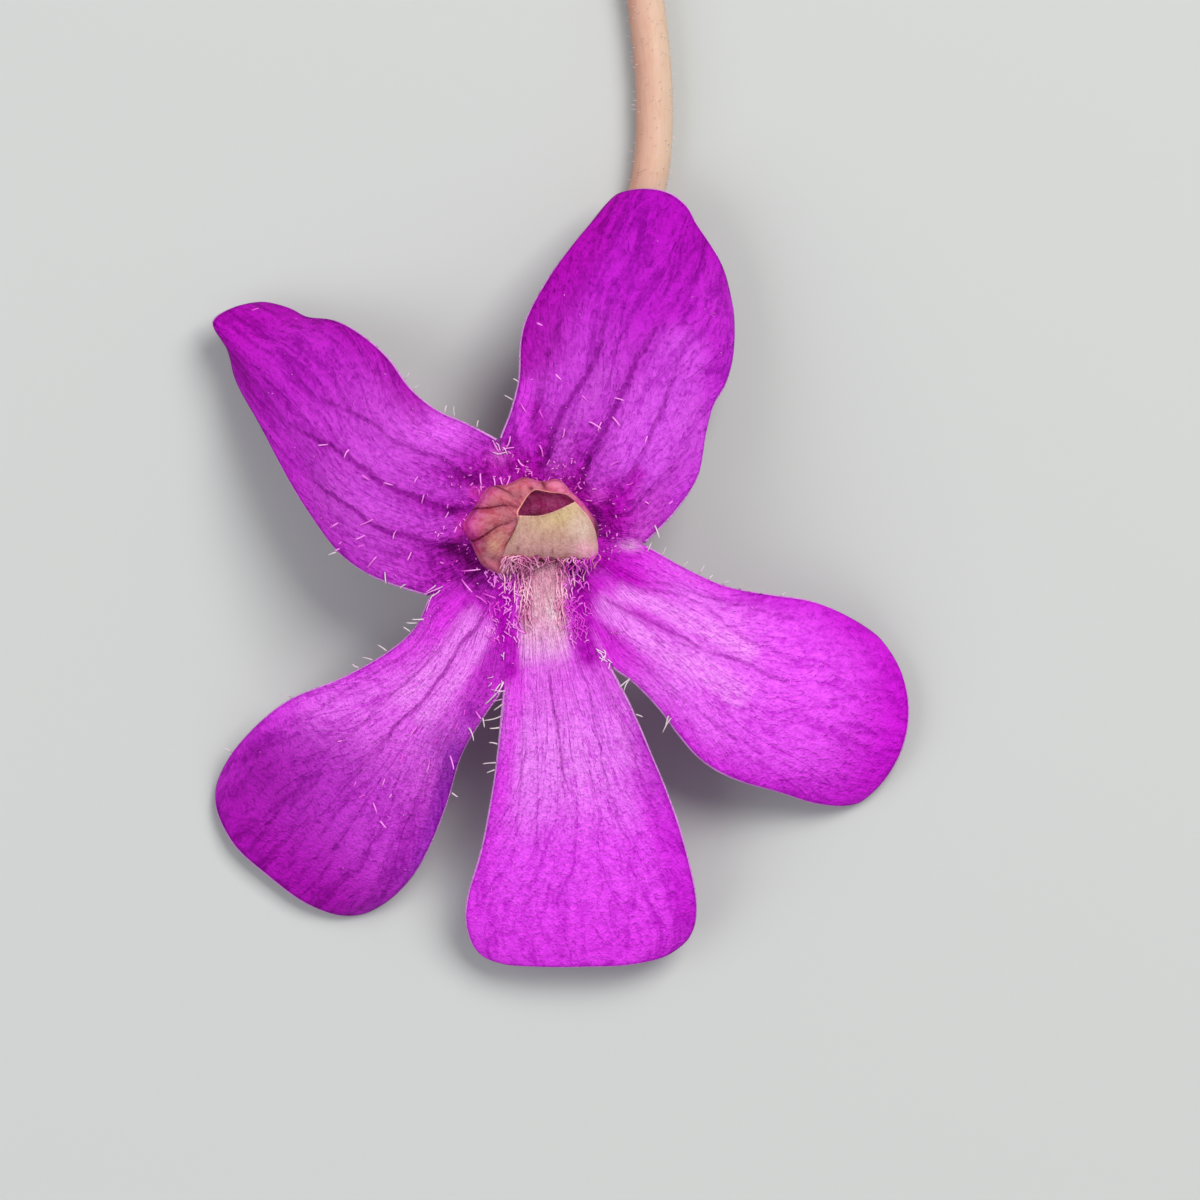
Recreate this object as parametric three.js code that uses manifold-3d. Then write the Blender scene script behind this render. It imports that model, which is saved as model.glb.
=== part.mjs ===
// A picked butterwort flower (Pinguicula, moranensis type) lying face up on a surface: a corolla of five fused
// lobes with its tube and nectar spur, the calyx behind it, the pistil and two stamens inside it, and the scape.
// Millimetres, +Z up. The pieces are drawn with the throat's centre over the point (0, 0) and the scape running
// off towards +Y. The whole flower is then moved, so that the origin is on the scape's level underside, near
// the flower's centre of mass.

import * as THREE from "three";
import { mergeGeometries, mergeVertices } from "three/addons/utils/BufferGeometryUtils.js";
import Module from "manifold-3d";

const wasm = await Module();
wasm.setup();

// ---------------------------------------------------------------- driving dimensions

const BLADE = 0.6; // thickness of the lobes and sepals
const LIMB_Z = 5.9; // height of the limb where it meets the collar
const LIMB_RISE = 0.35; // how much the limb rises between the collar and the notches
const DROP_POWER = 1.6; // how late along a lobe its droop sets in

const THROAT = { halfWidth: 2.95, halfHeight: 2.2 }; // ellipse where the limb meets the collar
const COLLAR_Z = 6.8; // height of the collar's rim
const TUBE_BASE_Z = 2.8; // lower end of the corolla tube

const SPUR_RADIUS = { root: 0.95, tip: 0.42 };
const SPUR_WALL = 0.42;
const SPUR_BORE_END = 0.55; // share of the spur's length that its bore reaches

const CALYX = { x: 0, y: 0.2, bottom: 2.1, top: 2.65, radius: 1.2 }; // its cup's floor, without the sepals
const SCAPE_RADIUS = { middle: 0.8, end: 0.56 }; // end: at the calyx
const SCAPE_SIDES = 14;
const SCAPE_Z = SCAPE_RADIUS.middle * Math.cos(Math.PI / SCAPE_SIDES) - 0.03; // leaves a level strip underneath

const REST_SPOT = { x: 1.3, y: 4.6 }; // the point of that strip that becomes the origin

// Mesh fineness
const ACROSS = 12; // columns over a lobe
const RING_ROWS = 2; // rows from the collar to the notches
const LOBE_ROWS = 14; // rows from the notches to the tip
const RING_SIDES = 28; // corners round the tube

// ---------------------------------------------------------------- outlines, seen from above

// The notches between neighbouring lobes, counter-clockwise, each with the bearing on the throat's edge, in
// degrees from +X, from which its seam runs out.
const NOTCHES = [
  { at: [4.82, -0.82], bearing: -14 }, // lower right | upper right
  { at: [-1.42, 3.65], bearing: 113 }, // upper right | upper left
  { at: [-4.39, -3.05], bearing: 219 }, // upper left | lower left
  { at: [-1.25, -7.05], bearing: 250 }, // lower left | middle
  { at: [3.4, -6.1], bearing: 312 }, // middle | lower right
];

// The lobes, counter-clockwise. margin runs from one notch to the next round the tip, and the tip's end takes the
// part of it between the two shares in tip. drop is how far the tip hangs below the notches, arch how far both
// edges hang below the midline, tilt how much lower the first edge is than the last, and wave the height of the
// slow waves along both edges.
const LOBES = [
  {
    name: "upper_right",
    margin: [
      [6.1, 0.5], [7.1, 2.0], [7.45, 3.8], [8.0, 5.3], [8.65, 7.2], [8.45, 9.3], [7.95, 11.3], [7.1, 12.9],
      [6.2, 14.05], [4.7, 14.45], [3.2, 13.9], [1.9, 12.4], [0.8, 10.9], [-0.1, 9.2], [-0.55, 7.5],
      [-0.65, 6.0], [-0.95, 4.9],
    ],
    tip: [0.36, 0.62],
    drop: 3.5,
    arch: 0.5,
    tilt: 0.15,
    wave: 0.2,
  },
  {
    name: "upper_left",
    margin: [
      [-2.8, 4.4], [-4.1, 5.0], [-5.2, 6.1], [-6.2, 7.3], [-7.5, 8.3], [-9.0, 8.85], [-10.3, 9.4], [-11.5, 9.6],
      [-12.7, 9.4], [-13.62, 8.7], [-13.2, 7.5], [-12.6, 5.8], [-11.6, 4.0], [-10.4, 1.8], [-9.3, 0.1],
      [-8.2, -1.3], [-6.9, -2.2], [-5.4, -2.75],
    ],
    tip: [0.4, 0.56],
    drop: 4.3,
    arch: 0.5,
    tilt: 0.4,
    wave: 0.25,
  },
  {
    name: "lower_left",
    margin: [
      [-5.0, -4.3], [-6.2, -5.35], [-8.2, -6.45], [-10.4, -7.35], [-12.1, -8.7], [-13.3, -10.3], [-13.68, -11.9],
      [-12.9, -13.7], [-11.5, -15.0], [-9.7, -16.3], [-8.0, -16.8], [-6.4, -16.3], [-5.1, -15.1], [-4.3, -13.7],
      [-3.55, -11.8], [-2.95, -9.8], [-2.1, -8.3],
    ],
    tip: [0.37, 0.66],
    drop: 5.5,
    arch: 0.55,
    tilt: -0.1,
    wave: 0.15,
  },
  {
    name: "middle",
    margin: [
      [-1.45, -9.0], [-1.8, -11.5], [-2.3, -14.0], [-2.85, -15.8], [-2.95, -17.0], [-2.5, -18.2], [-1.4, -18.8],
      [0.3, -18.95], [2.3, -18.95], [4.3, -18.85], [5.9, -18.4], [6.9, -17.4], [7.1, -16.2], [6.65, -13.9],
      [5.95, -11.7], [5.0, -9.4], [4.2, -7.6],
    ],
    tip: [0.355, 0.63],
    drop: 4.3,
    arch: 0.6,
    tilt: 0.15,
    wave: 0.15,
  },
  {
    name: "lower_right",
    margin: [
      [4.2, -6.65], [5.4, -7.9], [6.2, -9.0], [7.2, -10.1], [8.6, -10.9], [10.4, -11.45], [12.2, -12.0],
      [13.8, -12.0], [15.0, -11.1], [15.9, -9.6], [16.2, -7.9], [15.8, -6.1], [14.8, -4.7], [13.5, -3.8],
      [11.9, -3.15], [10.0, -2.85], [8.2, -2.5], [6.5, -1.75], [5.6, -1.25],
    ],
    tip: [0.4, 0.66],
    drop: 5.25,
    arch: 0.55,
    tilt: 0.1,
    wave: 0.2,
  },
];

// The tube's wall, as the ellipses of its sections: up the outside, over the collar's rim and down the inside.
// The collar is a ramp on the left and steep on the right, so that the mouth opens to the right of the middle,
// and it leans: each section rises by its lean towards LEAN_BEARING and falls by it on the other side.
const LEAN_BEARING = 125;
const TUBE_WALL = [
  { x: 0.0, y: 0.2, z: TUBE_BASE_Z, a: 1.5, b: 1.45, lean: 0 },
  { x: 0.0, y: 0.1, z: 3.6, a: 1.85, b: 1.8, lean: 0 },
  { x: 0.05, y: 0.0, z: 4.7, a: 2.4, b: 2.1, lean: 0 },
  { x: 0.1, y: 0.0, z: 5.5, a: 3.05, b: 2.35, lean: 0 },
  { x: 0.1, y: 0.0, z: 5.95, a: 3.1, b: 2.35, lean: 0.05 },
  { x: 0.3, y: 0.0, z: 6.4, a: 2.85, b: 2.15, lean: 0.15 },
  { x: 0.7, y: -0.05, z: 6.7, a: 2.35, b: 1.85, lean: 0.35 },
  { x: 0.9, y: -0.08, z: COLLAR_Z, a: 1.85, b: 1.5, lean: 0.42 },
  { x: 0.9, y: -0.08, z: 6.6, a: 1.55, b: 1.25, lean: 0.3 },
  { x: 0.75, y: -0.05, z: 6.0, a: 1.5, b: 1.25, lean: 0.1 },
  { x: 0.25, y: 0.0, z: 4.8, a: 1.6, b: 1.45, lean: 0 },
  { x: 0.05, y: 0.1, z: 3.7, a: 1.35, b: 1.3, lean: 0 },
  { x: 0.0, y: 0.2, z: TUBE_BASE_Z, a: 0.95, b: 0.9, lean: 0 },
];

// The spur leaves the front of the tube and comes down to lie along the surface under the middle lobe.
const SPUR_PATH = [
  [0.05, -0.75, 3.9], [0.1, -1.9, 3.35], [0.15, -3.3, 2.25], [0.2, -4.9, 1.3], [0.3, -7.0, 0.86],
  [0.45, -9.5, 0.66], [0.5, -12.0, 0.52], [0.35, -14.3, 0.42],
];

// The scape's middle line, from the calyx to the cut end.
const SCAPE_PATH = [
  [0.0, 0.2, 1.87], [0.0, 0.24, 1.55], [0.03, 0.62, 1.1], [0.13, 1.35, 0.84], [0.4, 2.3, SCAPE_Z],
  [1.3, 4.6, SCAPE_Z], [2.7, 8.0, SCAPE_Z], [4.1, 11.6, SCAPE_Z], [5.05, 15.2, SCAPE_Z], [5.2, 18.4, SCAPE_Z],
  [4.9, 22.0, SCAPE_Z], [4.1, 27.0, SCAPE_Z], [3.1, 33.0, SCAPE_Z], [2.5, 39.5, SCAPE_Z], [2.6, 46.0, SCAPE_Z],
  [3.4, 52.0, SCAPE_Z], [4.7, 57.5, SCAPE_Z],
];

// Sepals stand behind the notches, and the spur leaves between the two lower ones.
const SEPALS = [
  { bearing: -12, reach: 4.4, halfWidth: 0.8 },
  { bearing: 106, reach: 3.4, halfWidth: 0.9 },
  { bearing: 207, reach: 4.6, halfWidth: 0.8 },
  { bearing: 230, reach: 4.5, halfWidth: 0.7 },
  { bearing: 316, reach: 4.6, halfWidth: 0.7 },
];
const SEPAL_RISE = [[0.3, 2.65], [0.95, 2.65], [1.6, 2.66], [2.4, 3.05], [3.3, 3.75], [4.9, 4.5]]; // radius, top

// The stigma's large lobe, a domed flap that half closes the mouth, from its upper left corner clockwise.
const FLAP_OUTLINE = [
  [-0.4, 0.35], [0.4, 0.45], [1.2, 0.75], [1.8, 0.95], [2.4, 0.5], [2.75, -0.3], [2.75, -1.1], [2.3, -1.5],
  [1.4, -1.6], [0.5, -1.65], [-0.2, -1.75], [-0.75, -1.8], [-0.75, -1.3], [-0.45, -0.5],
];
const FLAP = { x: 0.95, y: -0.5, edgeZ: 7.4, crown: 0.35, sides: 28, rings: 4 };

const OVARY = { x: 0, y: 0.4, z: 3.5, radius: 0.6 };
const STYLE_PATH = [[0.02, 0.38, 3.8], [0.2, 0.3, 4.9], [0.6, 0.1, 6.0], [0.85, -0.3, 7.35]];
const STYLE_RADIUS = 0.34;

const STAMENS = {
  stamen_left: { path: [[-0.38, -0.5, 3.35], [-0.72, -0.55, 4.2], [-0.45, -0.6, 5.2]], anther: [-0.1, -0.6, 5.75] },
  stamen_right: { path: [[0.42, -0.5, 3.35], [0.95, -0.6, 4.2], [1.3, -0.55, 5.2]], anther: [1.45, -0.45, 5.75] },
};
const FILAMENT_RADIUS = 0.17;
const ANTHER = { width: 0.36, depth: 0.28, height: 0.42 }; // half sizes

// ---------------------------------------------------------------- materials

const skin = (color, roughness) => new THREE.MeshStandardMaterial({ color, roughness, metalness: 0 });
const MATERIALS = {
  corolla: skin("#b32cc4", 0.6),
  pistil: skin("#d9cf9c", 0.6),
  stamen: skin("#e3d79a", 0.7),
  calyx: skin("#7f7a45", 0.6),
  scape: skin("#e0b69a", 0.55),
};

// ---------------------------------------------------------------- helpers

const { clamp, degToRad: radians, euclideanModulo, lerp, smoothstep } = THREE.MathUtils;
const vector = ([x, y, z = 0]) => new THREE.Vector3(x, y, z);
const through = (points, closed = false) =>
  new THREE.CatmullRomCurve3(points.map(vector), closed, "centripetal");

// A closed geometry as a manifold-3d solid.
function solid(geometry) {
  const bare = new THREE.BufferGeometry().setAttribute("position", geometry.getAttribute("position"));
  if (geometry.index) bare.setIndex(geometry.index);
  const merged = mergeVertices(bare, 1e-4);
  return new wasm.Manifold(
    new wasm.Mesh({
      numProp: 3,
      vertProperties: new Float32Array(merged.attributes.position.array),
      triVerts: new Uint32Array(merged.index.array),
    }),
  );
}

// A manifold-3d solid as a geometry.
function geometryOf(made) {
  const mesh = made.getMesh();
  const geometry = new THREE.BufferGeometry();
  geometry.setAttribute("position", new THREE.BufferAttribute(new Float32Array(mesh.vertProperties), 3));
  return geometry.setIndex(new THREE.BufferAttribute(new Uint32Array(mesh.triVerts), 1));
}

// A grid of columns and rows, each vertex moved to place(u, v), its faces on the side of u x v.
function sheet(columns, rows, place) {
  const grid = new THREE.PlaneGeometry(1, 1, columns, rows);
  const { position, uv } = grid.attributes;
  for (let i = 0; i < position.count; i++) position.setXYZ(i, ...place(uv.getX(i), uv.getY(i)).toArray());
  grid.deleteAttribute("normal");
  grid.deleteAttribute("uv");
  return grid;
}

// The four-sided patch between a base, a tip and two sides, each a function from 0..1 to a point.
function patch(base, tip, first, second) {
  const [nearFirst, nearSecond, farFirst, farSecond] = [first(0), second(0), first(1), second(1)];
  return (u, v) => {
    const p = base(u).multiplyScalar(1 - v).addScaledVector(tip(u), v);
    p.addScaledVector(first(v), 1 - u).addScaledVector(second(v), u);
    p.addScaledVector(nearFirst, -(1 - u) * (1 - v)).addScaledVector(nearSecond, -u * (1 - v));
    return p.addScaledVector(farFirst, -(1 - u) * v).addScaledVector(farSecond, -u * v);
  };
}

// An open sheet with its faces up, made a closed blade by a second skin behind the first.
function thickened(open, thickness) {
  const front = mergeVertices(open, 1e-4);
  front.computeVertexNormals();
  const { position, normal } = front.attributes;
  const count = position.count;
  const points = new Float32Array(count * 6);
  points.set(position.array);
  for (let i = 0; i < count * 3; i++) points[count * 3 + i] = position.array[i] - normal.array[i] * thickness;
  const faces = Array.from(front.index.array);
  const triangles = [...faces];
  const sides = [];
  const seen = new Set();
  for (let i = 0; i < faces.length; i += 3) {
    const [a, b, c] = faces.slice(i, i + 3);
    triangles.push(count + a, count + c, count + b);
    sides.push([a, b], [b, c], [c, a]);
  }
  for (const [from, to] of sides) seen.add(`${from} ${to}`);
  for (const [from, to] of sides) {
    if (seen.has(`${to} ${from}`)) continue;
    triangles.push(from, count + from, to, to, count + from, count + to);
  }
  const blade = new THREE.BufferGeometry();
  blade.setAttribute("position", new THREE.BufferAttribute(points, 3));
  return blade.setIndex(triangles);
}

// A capped rod of changing radius along a curve, finer where the curve's points are closer together, with one of
// its flats underneath all the way.
function rod(curve, radiusAt, sides, steps) {
  const form = new THREE.CylinderGeometry(1, 1, 1, sides, steps);
  const { position } = form.attributes;
  const side = new THREE.Vector3();
  const over = new THREE.Vector3();
  for (let i = 0; i < position.count; i++) {
    const share = clamp(position.getY(i) + 0.5, 0, 1);
    const across = Math.hypot(position.getX(i), position.getZ(i));
    const angle = Math.atan2(position.getX(i), position.getZ(i)) + Math.PI * (0.5 + 1 / sides);
    const along = curve.getTangent(share);
    side.set(-along.y, along.x, 0);
    if (side.length() < 0.3) side.set(-1, 0, 0);
    side.normalize();
    over.crossVectors(along, side).normalize();
    const r = across < 1e-6 ? 0 : radiusAt(share);
    const p = curve.getPoint(share);
    p.addScaledVector(side, r * Math.cos(angle)).addScaledVector(over, r * Math.sin(angle));
    position.setXYZ(i, p.x, p.y, p.z);
  }
  return form;
}

// The ring-shaped wall, or the round body, swept through the given ellipses.
function lathe(sections, sides) {
  const form = new THREE.LatheGeometry(sections.map((s) => new THREE.Vector2(s.a, s.z)), sides);
  const { position, uv } = form.attributes;
  for (let i = 0; i < position.count; i++) {
    const s = sections[Math.round(uv.getY(i) * (sections.length - 1))];
    const angle = ((Math.round(uv.getX(i) * sides) % sides) * 2 * Math.PI) / sides;
    const rise = s.a === 0 ? 0 : s.lean * Math.cos(angle - radians(LEAN_BEARING));
    position.setXYZ(i, s.x + s.a * Math.cos(angle), s.y + s.b * Math.sin(angle), s.z + rise);
  }
  return form;
}

const FLOOR_DEPTH = 5;
const underFloor = solid(new THREE.BoxGeometry(80, 200, FLOOR_DEPTH).translate(0, 0, -FLOOR_DEPTH / 2));
const aboveFloor = (made) => made.subtract(underFloor);

// ---------------------------------------------------------------- corolla

const throatPoint = (bearing) =>
  vector([THROAT.halfWidth * Math.cos(radians(bearing)), THROAT.halfHeight * Math.sin(radians(bearing))]);

// One lobe with its share of the limb, from the collar to the tip.
function lobeSheet(lobe, start, end) {
  const rows = RING_ROWS + LOBE_ROWS;
  const margin = through([start.at, ...lobe.margin, end.at]);
  const [tipFrom, tipTo] = lobe.tip;
  const endBearing = end.bearing > start.bearing ? end.bearing : end.bearing + 360;
  const side = (notch, marginAt) => (v) => {
    const row = v * rows;
    if (row <= RING_ROWS) return throatPoint(notch.bearing).lerp(vector(notch.at), row / RING_ROWS);
    return marginAt((row - RING_ROWS) / LOBE_ROWS);
  };
  const place = patch(
    (u) => throatPoint(lerp(start.bearing, endBearing, u)),
    (u) => margin.getPointAt(lerp(tipFrom, tipTo, u)),
    side(start, (q) => margin.getPointAt(q * tipFrom)),
    side(end, (q) => margin.getPointAt(1 - q * (1 - tipTo))),
  );
  return sheet(ACROSS, rows, (u, v) => {
    const p = place(1 - u, v); // the columns run clockwise, which puts the faces on top
    const row = v * rows;
    const q = Math.max(0, (row - RING_ROWS) / LOBE_ROWS);
    const t = 1 - 2 * u;
    const wave = lobe.wave * Math.sin(2.5 * Math.PI * q + 2 * t) * t * t;
    const shape = (-lobe.arch * t * t + lobe.tilt * t + wave) * smoothstep(q, 0, 0.5);
    const rise = LIMB_RISE * smoothstep(row, 0, RING_ROWS);
    p.z = LIMB_Z + rise - lobe.drop * q ** DROP_POWER + shape;
    return p;
  });
}

function limb() {
  const sheets = LOBES.map((lobe, i) => lobeSheet(lobe, NOTCHES[i], NOTCHES[(i + 1) % NOTCHES.length]));
  return solid(thickened(mergeGeometries(sheets), BLADE));
}

// The free space in the tube, which the spur's root doesn't fill.
function tubeSpace() {
  const rim = TUBE_WALL.findIndex((s) => s.z === COLLAR_Z);
  const inner = TUBE_WALL.slice(rim + 1).reverse();
  const axisPoint = (s) => ({ ...s, a: 0, b: 0 });
  return solid(lathe([axisPoint(inner[0]), ...inner, axisPoint(inner.at(-1))], RING_SIDES));
}

function corolla() {
  const spurCurve = through(SPUR_PATH);
  const spurRadius = (share) => lerp(SPUR_RADIUS.root, SPUR_RADIUS.tip, share ** 0.8);
  const boreCurve = through([0, 0.2, 0.4, 0.6, 0.8, 1].map((s) => spurCurve.getPoint(s * SPUR_BORE_END).toArray()));
  const boreRadius = (share) => Math.max(0.12, spurRadius(share * SPUR_BORE_END) - SPUR_WALL);
  const tube = solid(lathe([...TUBE_WALL, TUBE_WALL[0]], RING_SIDES));
  const spur = solid(rod(spurCurve, spurRadius, 12, 21)).subtract(tubeSpace());
  const body = limb().add(tube).add(spur).subtract(solid(rod(boreCurve, boreRadius, 8, 8)));
  return aboveFloor(body);
}

// ---------------------------------------------------------------- calyx and scape

function sepal({ bearing, reach, halfWidth }) {
  const rise = through(SEPAL_RISE.map(([radius, top]) => [radius, 0, top]));
  const stretch = reach / SEPAL_RISE.at(-1)[0];
  const blade = sheet(4, 10, (u, v) => {
    const onRise = rise.getPointAt(v);
    const radius = onRise.x * lerp(1, stretch, v);
    const width = halfWidth * (0.6 + 0.4 * Math.sin(Math.PI * v)) * (1 - 0.9 * v ** 3);
    const t = 1 - 2 * u;
    return vector([radius, t * width, onRise.z + 0.15 * t * t * v]);
  });
  blade.rotateZ(radians(bearing)).translate(CALYX.x, CALYX.y, 0);
  return solid(thickened(blade, BLADE));
}

function calyx() {
  const level = (z, radius) => ({ x: CALYX.x, y: CALYX.y, z, a: radius, b: radius, lean: 0 });
  const cup = [
    level(CALYX.bottom, 0),
    level(CALYX.bottom, 0.6),
    level(lerp(CALYX.bottom, CALYX.top, 0.5), CALYX.radius),
    level(CALYX.top, CALYX.radius),
    level(CALYX.top, 0),
  ];
  return SEPALS.map(sepal).reduce((joined, made) => joined.add(made), solid(lathe(cup, RING_SIDES)));
}

function scape() {
  const radius = (share) => lerp(SCAPE_RADIUS.end, SCAPE_RADIUS.middle, smoothstep(share, 0, 0.3));
  return aboveFloor(solid(rod(through(SCAPE_PATH), radius, SCAPE_SIDES, 48)));
}

// ---------------------------------------------------------------- pistil and stamens

function pistil() {
  const centre = vector([FLAP.x, FLAP.y]);
  const outline = through(FLAP_OUTLINE, true);
  const dome = new THREE.RingGeometry(0, 1, FLAP.sides, FLAP.rings);
  const { position } = dome.attributes;
  for (let i = 0; i < position.count; i++) {
    const out = Math.hypot(position.getX(i), position.getY(i));
    const share = 0.3 - Math.atan2(position.getY(i), position.getX(i)) / (2 * Math.PI);
    const edge = outline.getPointAt(euclideanModulo(share, 1));
    const p = centre.clone().lerp(edge, out);
    position.setXYZ(i, p.x, p.y, FLAP.edgeZ + FLAP.crown * (1 - out ** 2.5));
  }
  dome.deleteAttribute("normal");
  dome.deleteAttribute("uv");
  const flap = solid(thickened(dome, BLADE));
  const ovary = new THREE.SphereGeometry(OVARY.radius, 16, 10).translate(OVARY.x, OVARY.y, OVARY.z);
  const style = solid(rod(through(STYLE_PATH), () => STYLE_RADIUS, 10, 8));
  return flap.add(solid(ovary)).add(style);
}

function stamen({ path, anther }) {
  const filament = solid(rod(through([...path, anther]), () => FILAMENT_RADIUS, 8, 8));
  const head = new THREE.SphereGeometry(1, 12, 8).scale(ANTHER.width, ANTHER.depth, ANTHER.height);
  return filament.add(solid(head.translate(...anther)));
}

// ---------------------------------------------------------------- the flower

const flower = new THREE.Group();

function add(name, made, material) {
  const mesh = new THREE.Mesh(geometryOf(made), material);
  mesh.name = name;
  mesh.position.set(-REST_SPOT.x, -REST_SPOT.y, 0);
  flower.add(mesh);
}

add("corolla", corolla(), MATERIALS.corolla);
add("pistil", pistil(), MATERIALS.pistil);
add("stamen_left", stamen(STAMENS.stamen_left), MATERIALS.stamen);
add("stamen_right", stamen(STAMENS.stamen_right), MATERIALS.stamen);
add("calyx", calyx(), MATERIALS.calyx);
add("scape", scape(), MATERIALS.scape);

export default flower;
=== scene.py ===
# %% [markdown]
# # A butterwort flower, picked and laid face up
#
# A butterwort is a small carnivorous plant. Its flower has five flat lobes round a throat, a spur behind
# the throat, and one bare stem, the scape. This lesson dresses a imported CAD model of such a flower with
# thin lobes, a velvet skin, veins and hairs. Everything is drawn in millimetres as seen from above, with
# the throat's centre at (0, 0), and one helper turns that into Blender's metres.

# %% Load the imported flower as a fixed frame
import math
import random

import bmesh
import bpy
import numpy as np
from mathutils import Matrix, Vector, noise


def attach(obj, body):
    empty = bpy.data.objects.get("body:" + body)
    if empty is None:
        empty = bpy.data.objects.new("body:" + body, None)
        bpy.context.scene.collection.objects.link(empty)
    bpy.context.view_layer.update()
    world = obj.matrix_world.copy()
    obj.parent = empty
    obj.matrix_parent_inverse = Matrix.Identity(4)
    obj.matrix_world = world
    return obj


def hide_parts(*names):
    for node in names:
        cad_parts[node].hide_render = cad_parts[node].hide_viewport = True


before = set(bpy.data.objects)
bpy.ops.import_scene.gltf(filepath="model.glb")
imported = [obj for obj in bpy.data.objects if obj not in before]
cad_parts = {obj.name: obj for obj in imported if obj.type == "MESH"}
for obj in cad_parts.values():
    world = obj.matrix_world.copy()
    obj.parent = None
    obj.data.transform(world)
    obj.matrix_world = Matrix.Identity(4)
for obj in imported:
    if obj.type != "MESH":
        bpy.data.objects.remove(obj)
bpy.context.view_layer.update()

# %% Millimetres over the throat to metres in the frame
MM = 0.001
REST_X = 1.3  # the frame's origin lies this far to the right of the throat's centre
REST_Y = 4.6  # and this far up the scape


def at(x, y, z):
    return Vector((x - REST_X, y - REST_Y, z)) * MM


print("throat centre", at(0, 0, 0))

# %% [markdown]
# ## Camera
# The flower is seen straight on, so the camera hangs above it and looks down. A long lens from far away
# keeps the perspective weak, so the lobes keep their outlines. The lens follows from the width of the view.

# %% Camera straight above the flower
VIEW_WIDTH = 51.1  # millimetres across the view at the height of the lobes
VIEW_CENTRE = (2.88, -3.18)
CAMERA_HEIGHT = 600.0
LOBE_HEIGHT = 4.5
SENSOR_WIDTH = 36.0

camera = bpy.data.objects.new("camera", bpy.data.cameras.new("camera"))
bpy.context.collection.objects.link(camera)
camera.location = at(*VIEW_CENTRE, CAMERA_HEIGHT)
camera.data.sensor_width = SENSOR_WIDTH
camera.data.lens = SENSOR_WIDTH * (CAMERA_HEIGHT - LOBE_HEIGHT) / VIEW_WIDTH
camera.data.clip_start = 0.01
camera.data.clip_end = 10.0
bpy.context.scene.camera = camera
print("lens", round(camera.data.lens, 1), "mm")

# %% [markdown]
# ## Floor and light
# A plain pale floor, one large soft lamp from the upper right and a weaker one from the left. Soft light
# suits petals, because hard light would burn out their velvet. The Standard view keeps magenta as strong as
# it is, where a film-like view would bleach it.

# %% Floor
FLOOR_Z = -0.02  # a hair's breadth below the flower, so that no two faces coincide

floor_bm = bmesh.new()
bmesh.ops.create_grid(floor_bm, x_segments=1, y_segments=1, size=1.5)
bmesh.ops.translate(floor_bm, verts=floor_bm.verts, vec=(0, 0, FLOOR_Z * MM))
floor_mesh = bpy.data.meshes.new("floor")
floor_bm.to_mesh(floor_mesh)
floor_bm.free()
floor = bpy.data.objects.new("floor", floor_mesh)
bpy.context.collection.objects.link(floor)

floor_paint = bpy.data.materials.new("floor_paint")
floor_paint.use_nodes = True
floor_shader = floor_paint.node_tree.nodes["Principled BSDF"]
floor_shader.inputs["Base Color"].default_value = (0.5, 0.51, 0.5, 1)
floor_shader.inputs["Roughness"].default_value = 0.9
floor_shader.inputs["Specular IOR Level"].default_value = 0.1
floor_mesh.materials.append(floor_paint)
print("floor", floor.name)

# %% Lamps and sky


def soft_lamp(name, position, size, watts, colour):
    lamp = bpy.data.lights.new(name, "AREA")
    lamp.size = size
    lamp.energy = watts
    lamp.color = colour
    carrier = bpy.data.objects.new(name, lamp)
    carrier.location = position
    carrier.rotation_euler = (-Vector(position)).to_track_quat("-Z", "Y").to_euler()
    bpy.context.collection.objects.link(carrier)
    print(name, watts, "W")


soft_lamp("key", (0.2, 0.22, 0.42), 0.28, 2.48, (1.0, 0.98, 0.96))
soft_lamp("fill", (-0.35, -0.1, 0.35), 0.4, 1.05, (0.95, 0.97, 1.0))
bpy.context.scene.view_settings.view_transform = "Standard"

sky = bpy.data.worlds.new("studio")
bpy.context.scene.world = sky
sky.use_nodes = True
sky.node_tree.nodes["Background"].inputs["Color"].default_value = (0.94, 0.97, 1.0, 1)
sky.node_tree.nodes["Background"].inputs["Strength"].default_value = 0.42

# %% [markdown]
# ## Curves through points
# Outlines and stems are smooth curves through a few points. Blender's own curves could hold them, but the
# lobes need points at even distances along the curve, so a short helper samples a Catmull-Rom curve finely
# and looks up the point at a share of its length. A second helper closes a ring of evenly spaced bearings,
# a third is a soft step from 0 to 1, a fourth a soft bump on the plan, and the last one traces a line on
# the plan.

# %% Curve through points


def through(points, fineness=24):
    rows = np.array([tuple(p) + (0.0,) * (3 - len(p)) for p in points], float)
    rows = np.vstack([2 * rows[0] - rows[1], rows, 2 * rows[-1] - rows[-2]])
    samples = []
    s = np.linspace(0, 1, fineness, endpoint=False)[:, None]
    for p0, p1, p2, p3 in zip(rows, rows[1:], rows[2:], rows[3:]):
        d0, d1, d2 = (max(np.linalg.norm(b - a), 1e-6) ** 0.5 for a, b in ((p0, p1), (p1, p2), (p2, p3)))
        t1 = ((p1 - p0) / d0 - (p2 - p0) / (d0 + d1) + (p2 - p1) / d1) * d1
        t2 = ((p2 - p1) / d1 - (p3 - p1) / (d1 + d2) + (p3 - p2) / d2) * d1
        start = (2 * s**3 - 3 * s**2 + 1) * p1 + (s**3 - 2 * s**2 + s) * t1
        samples.append(start + (3 * s**2 - 2 * s**3) * p2 + (s**3 - s**2) * t2)
    line = np.vstack(samples + [rows[-2][None]])
    length = np.concatenate([[0], np.cumsum(np.linalg.norm(np.diff(line, axis=0), axis=1))])
    length /= length[-1]

    def point(share):
        return np.array([np.interp(share, length, line[:, axis]) for axis in range(3)])

    return point


print("half way along a line", through([(0, 0), (2, 0)])(0.5))

# %% Ring of evenly spaced bearings


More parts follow.
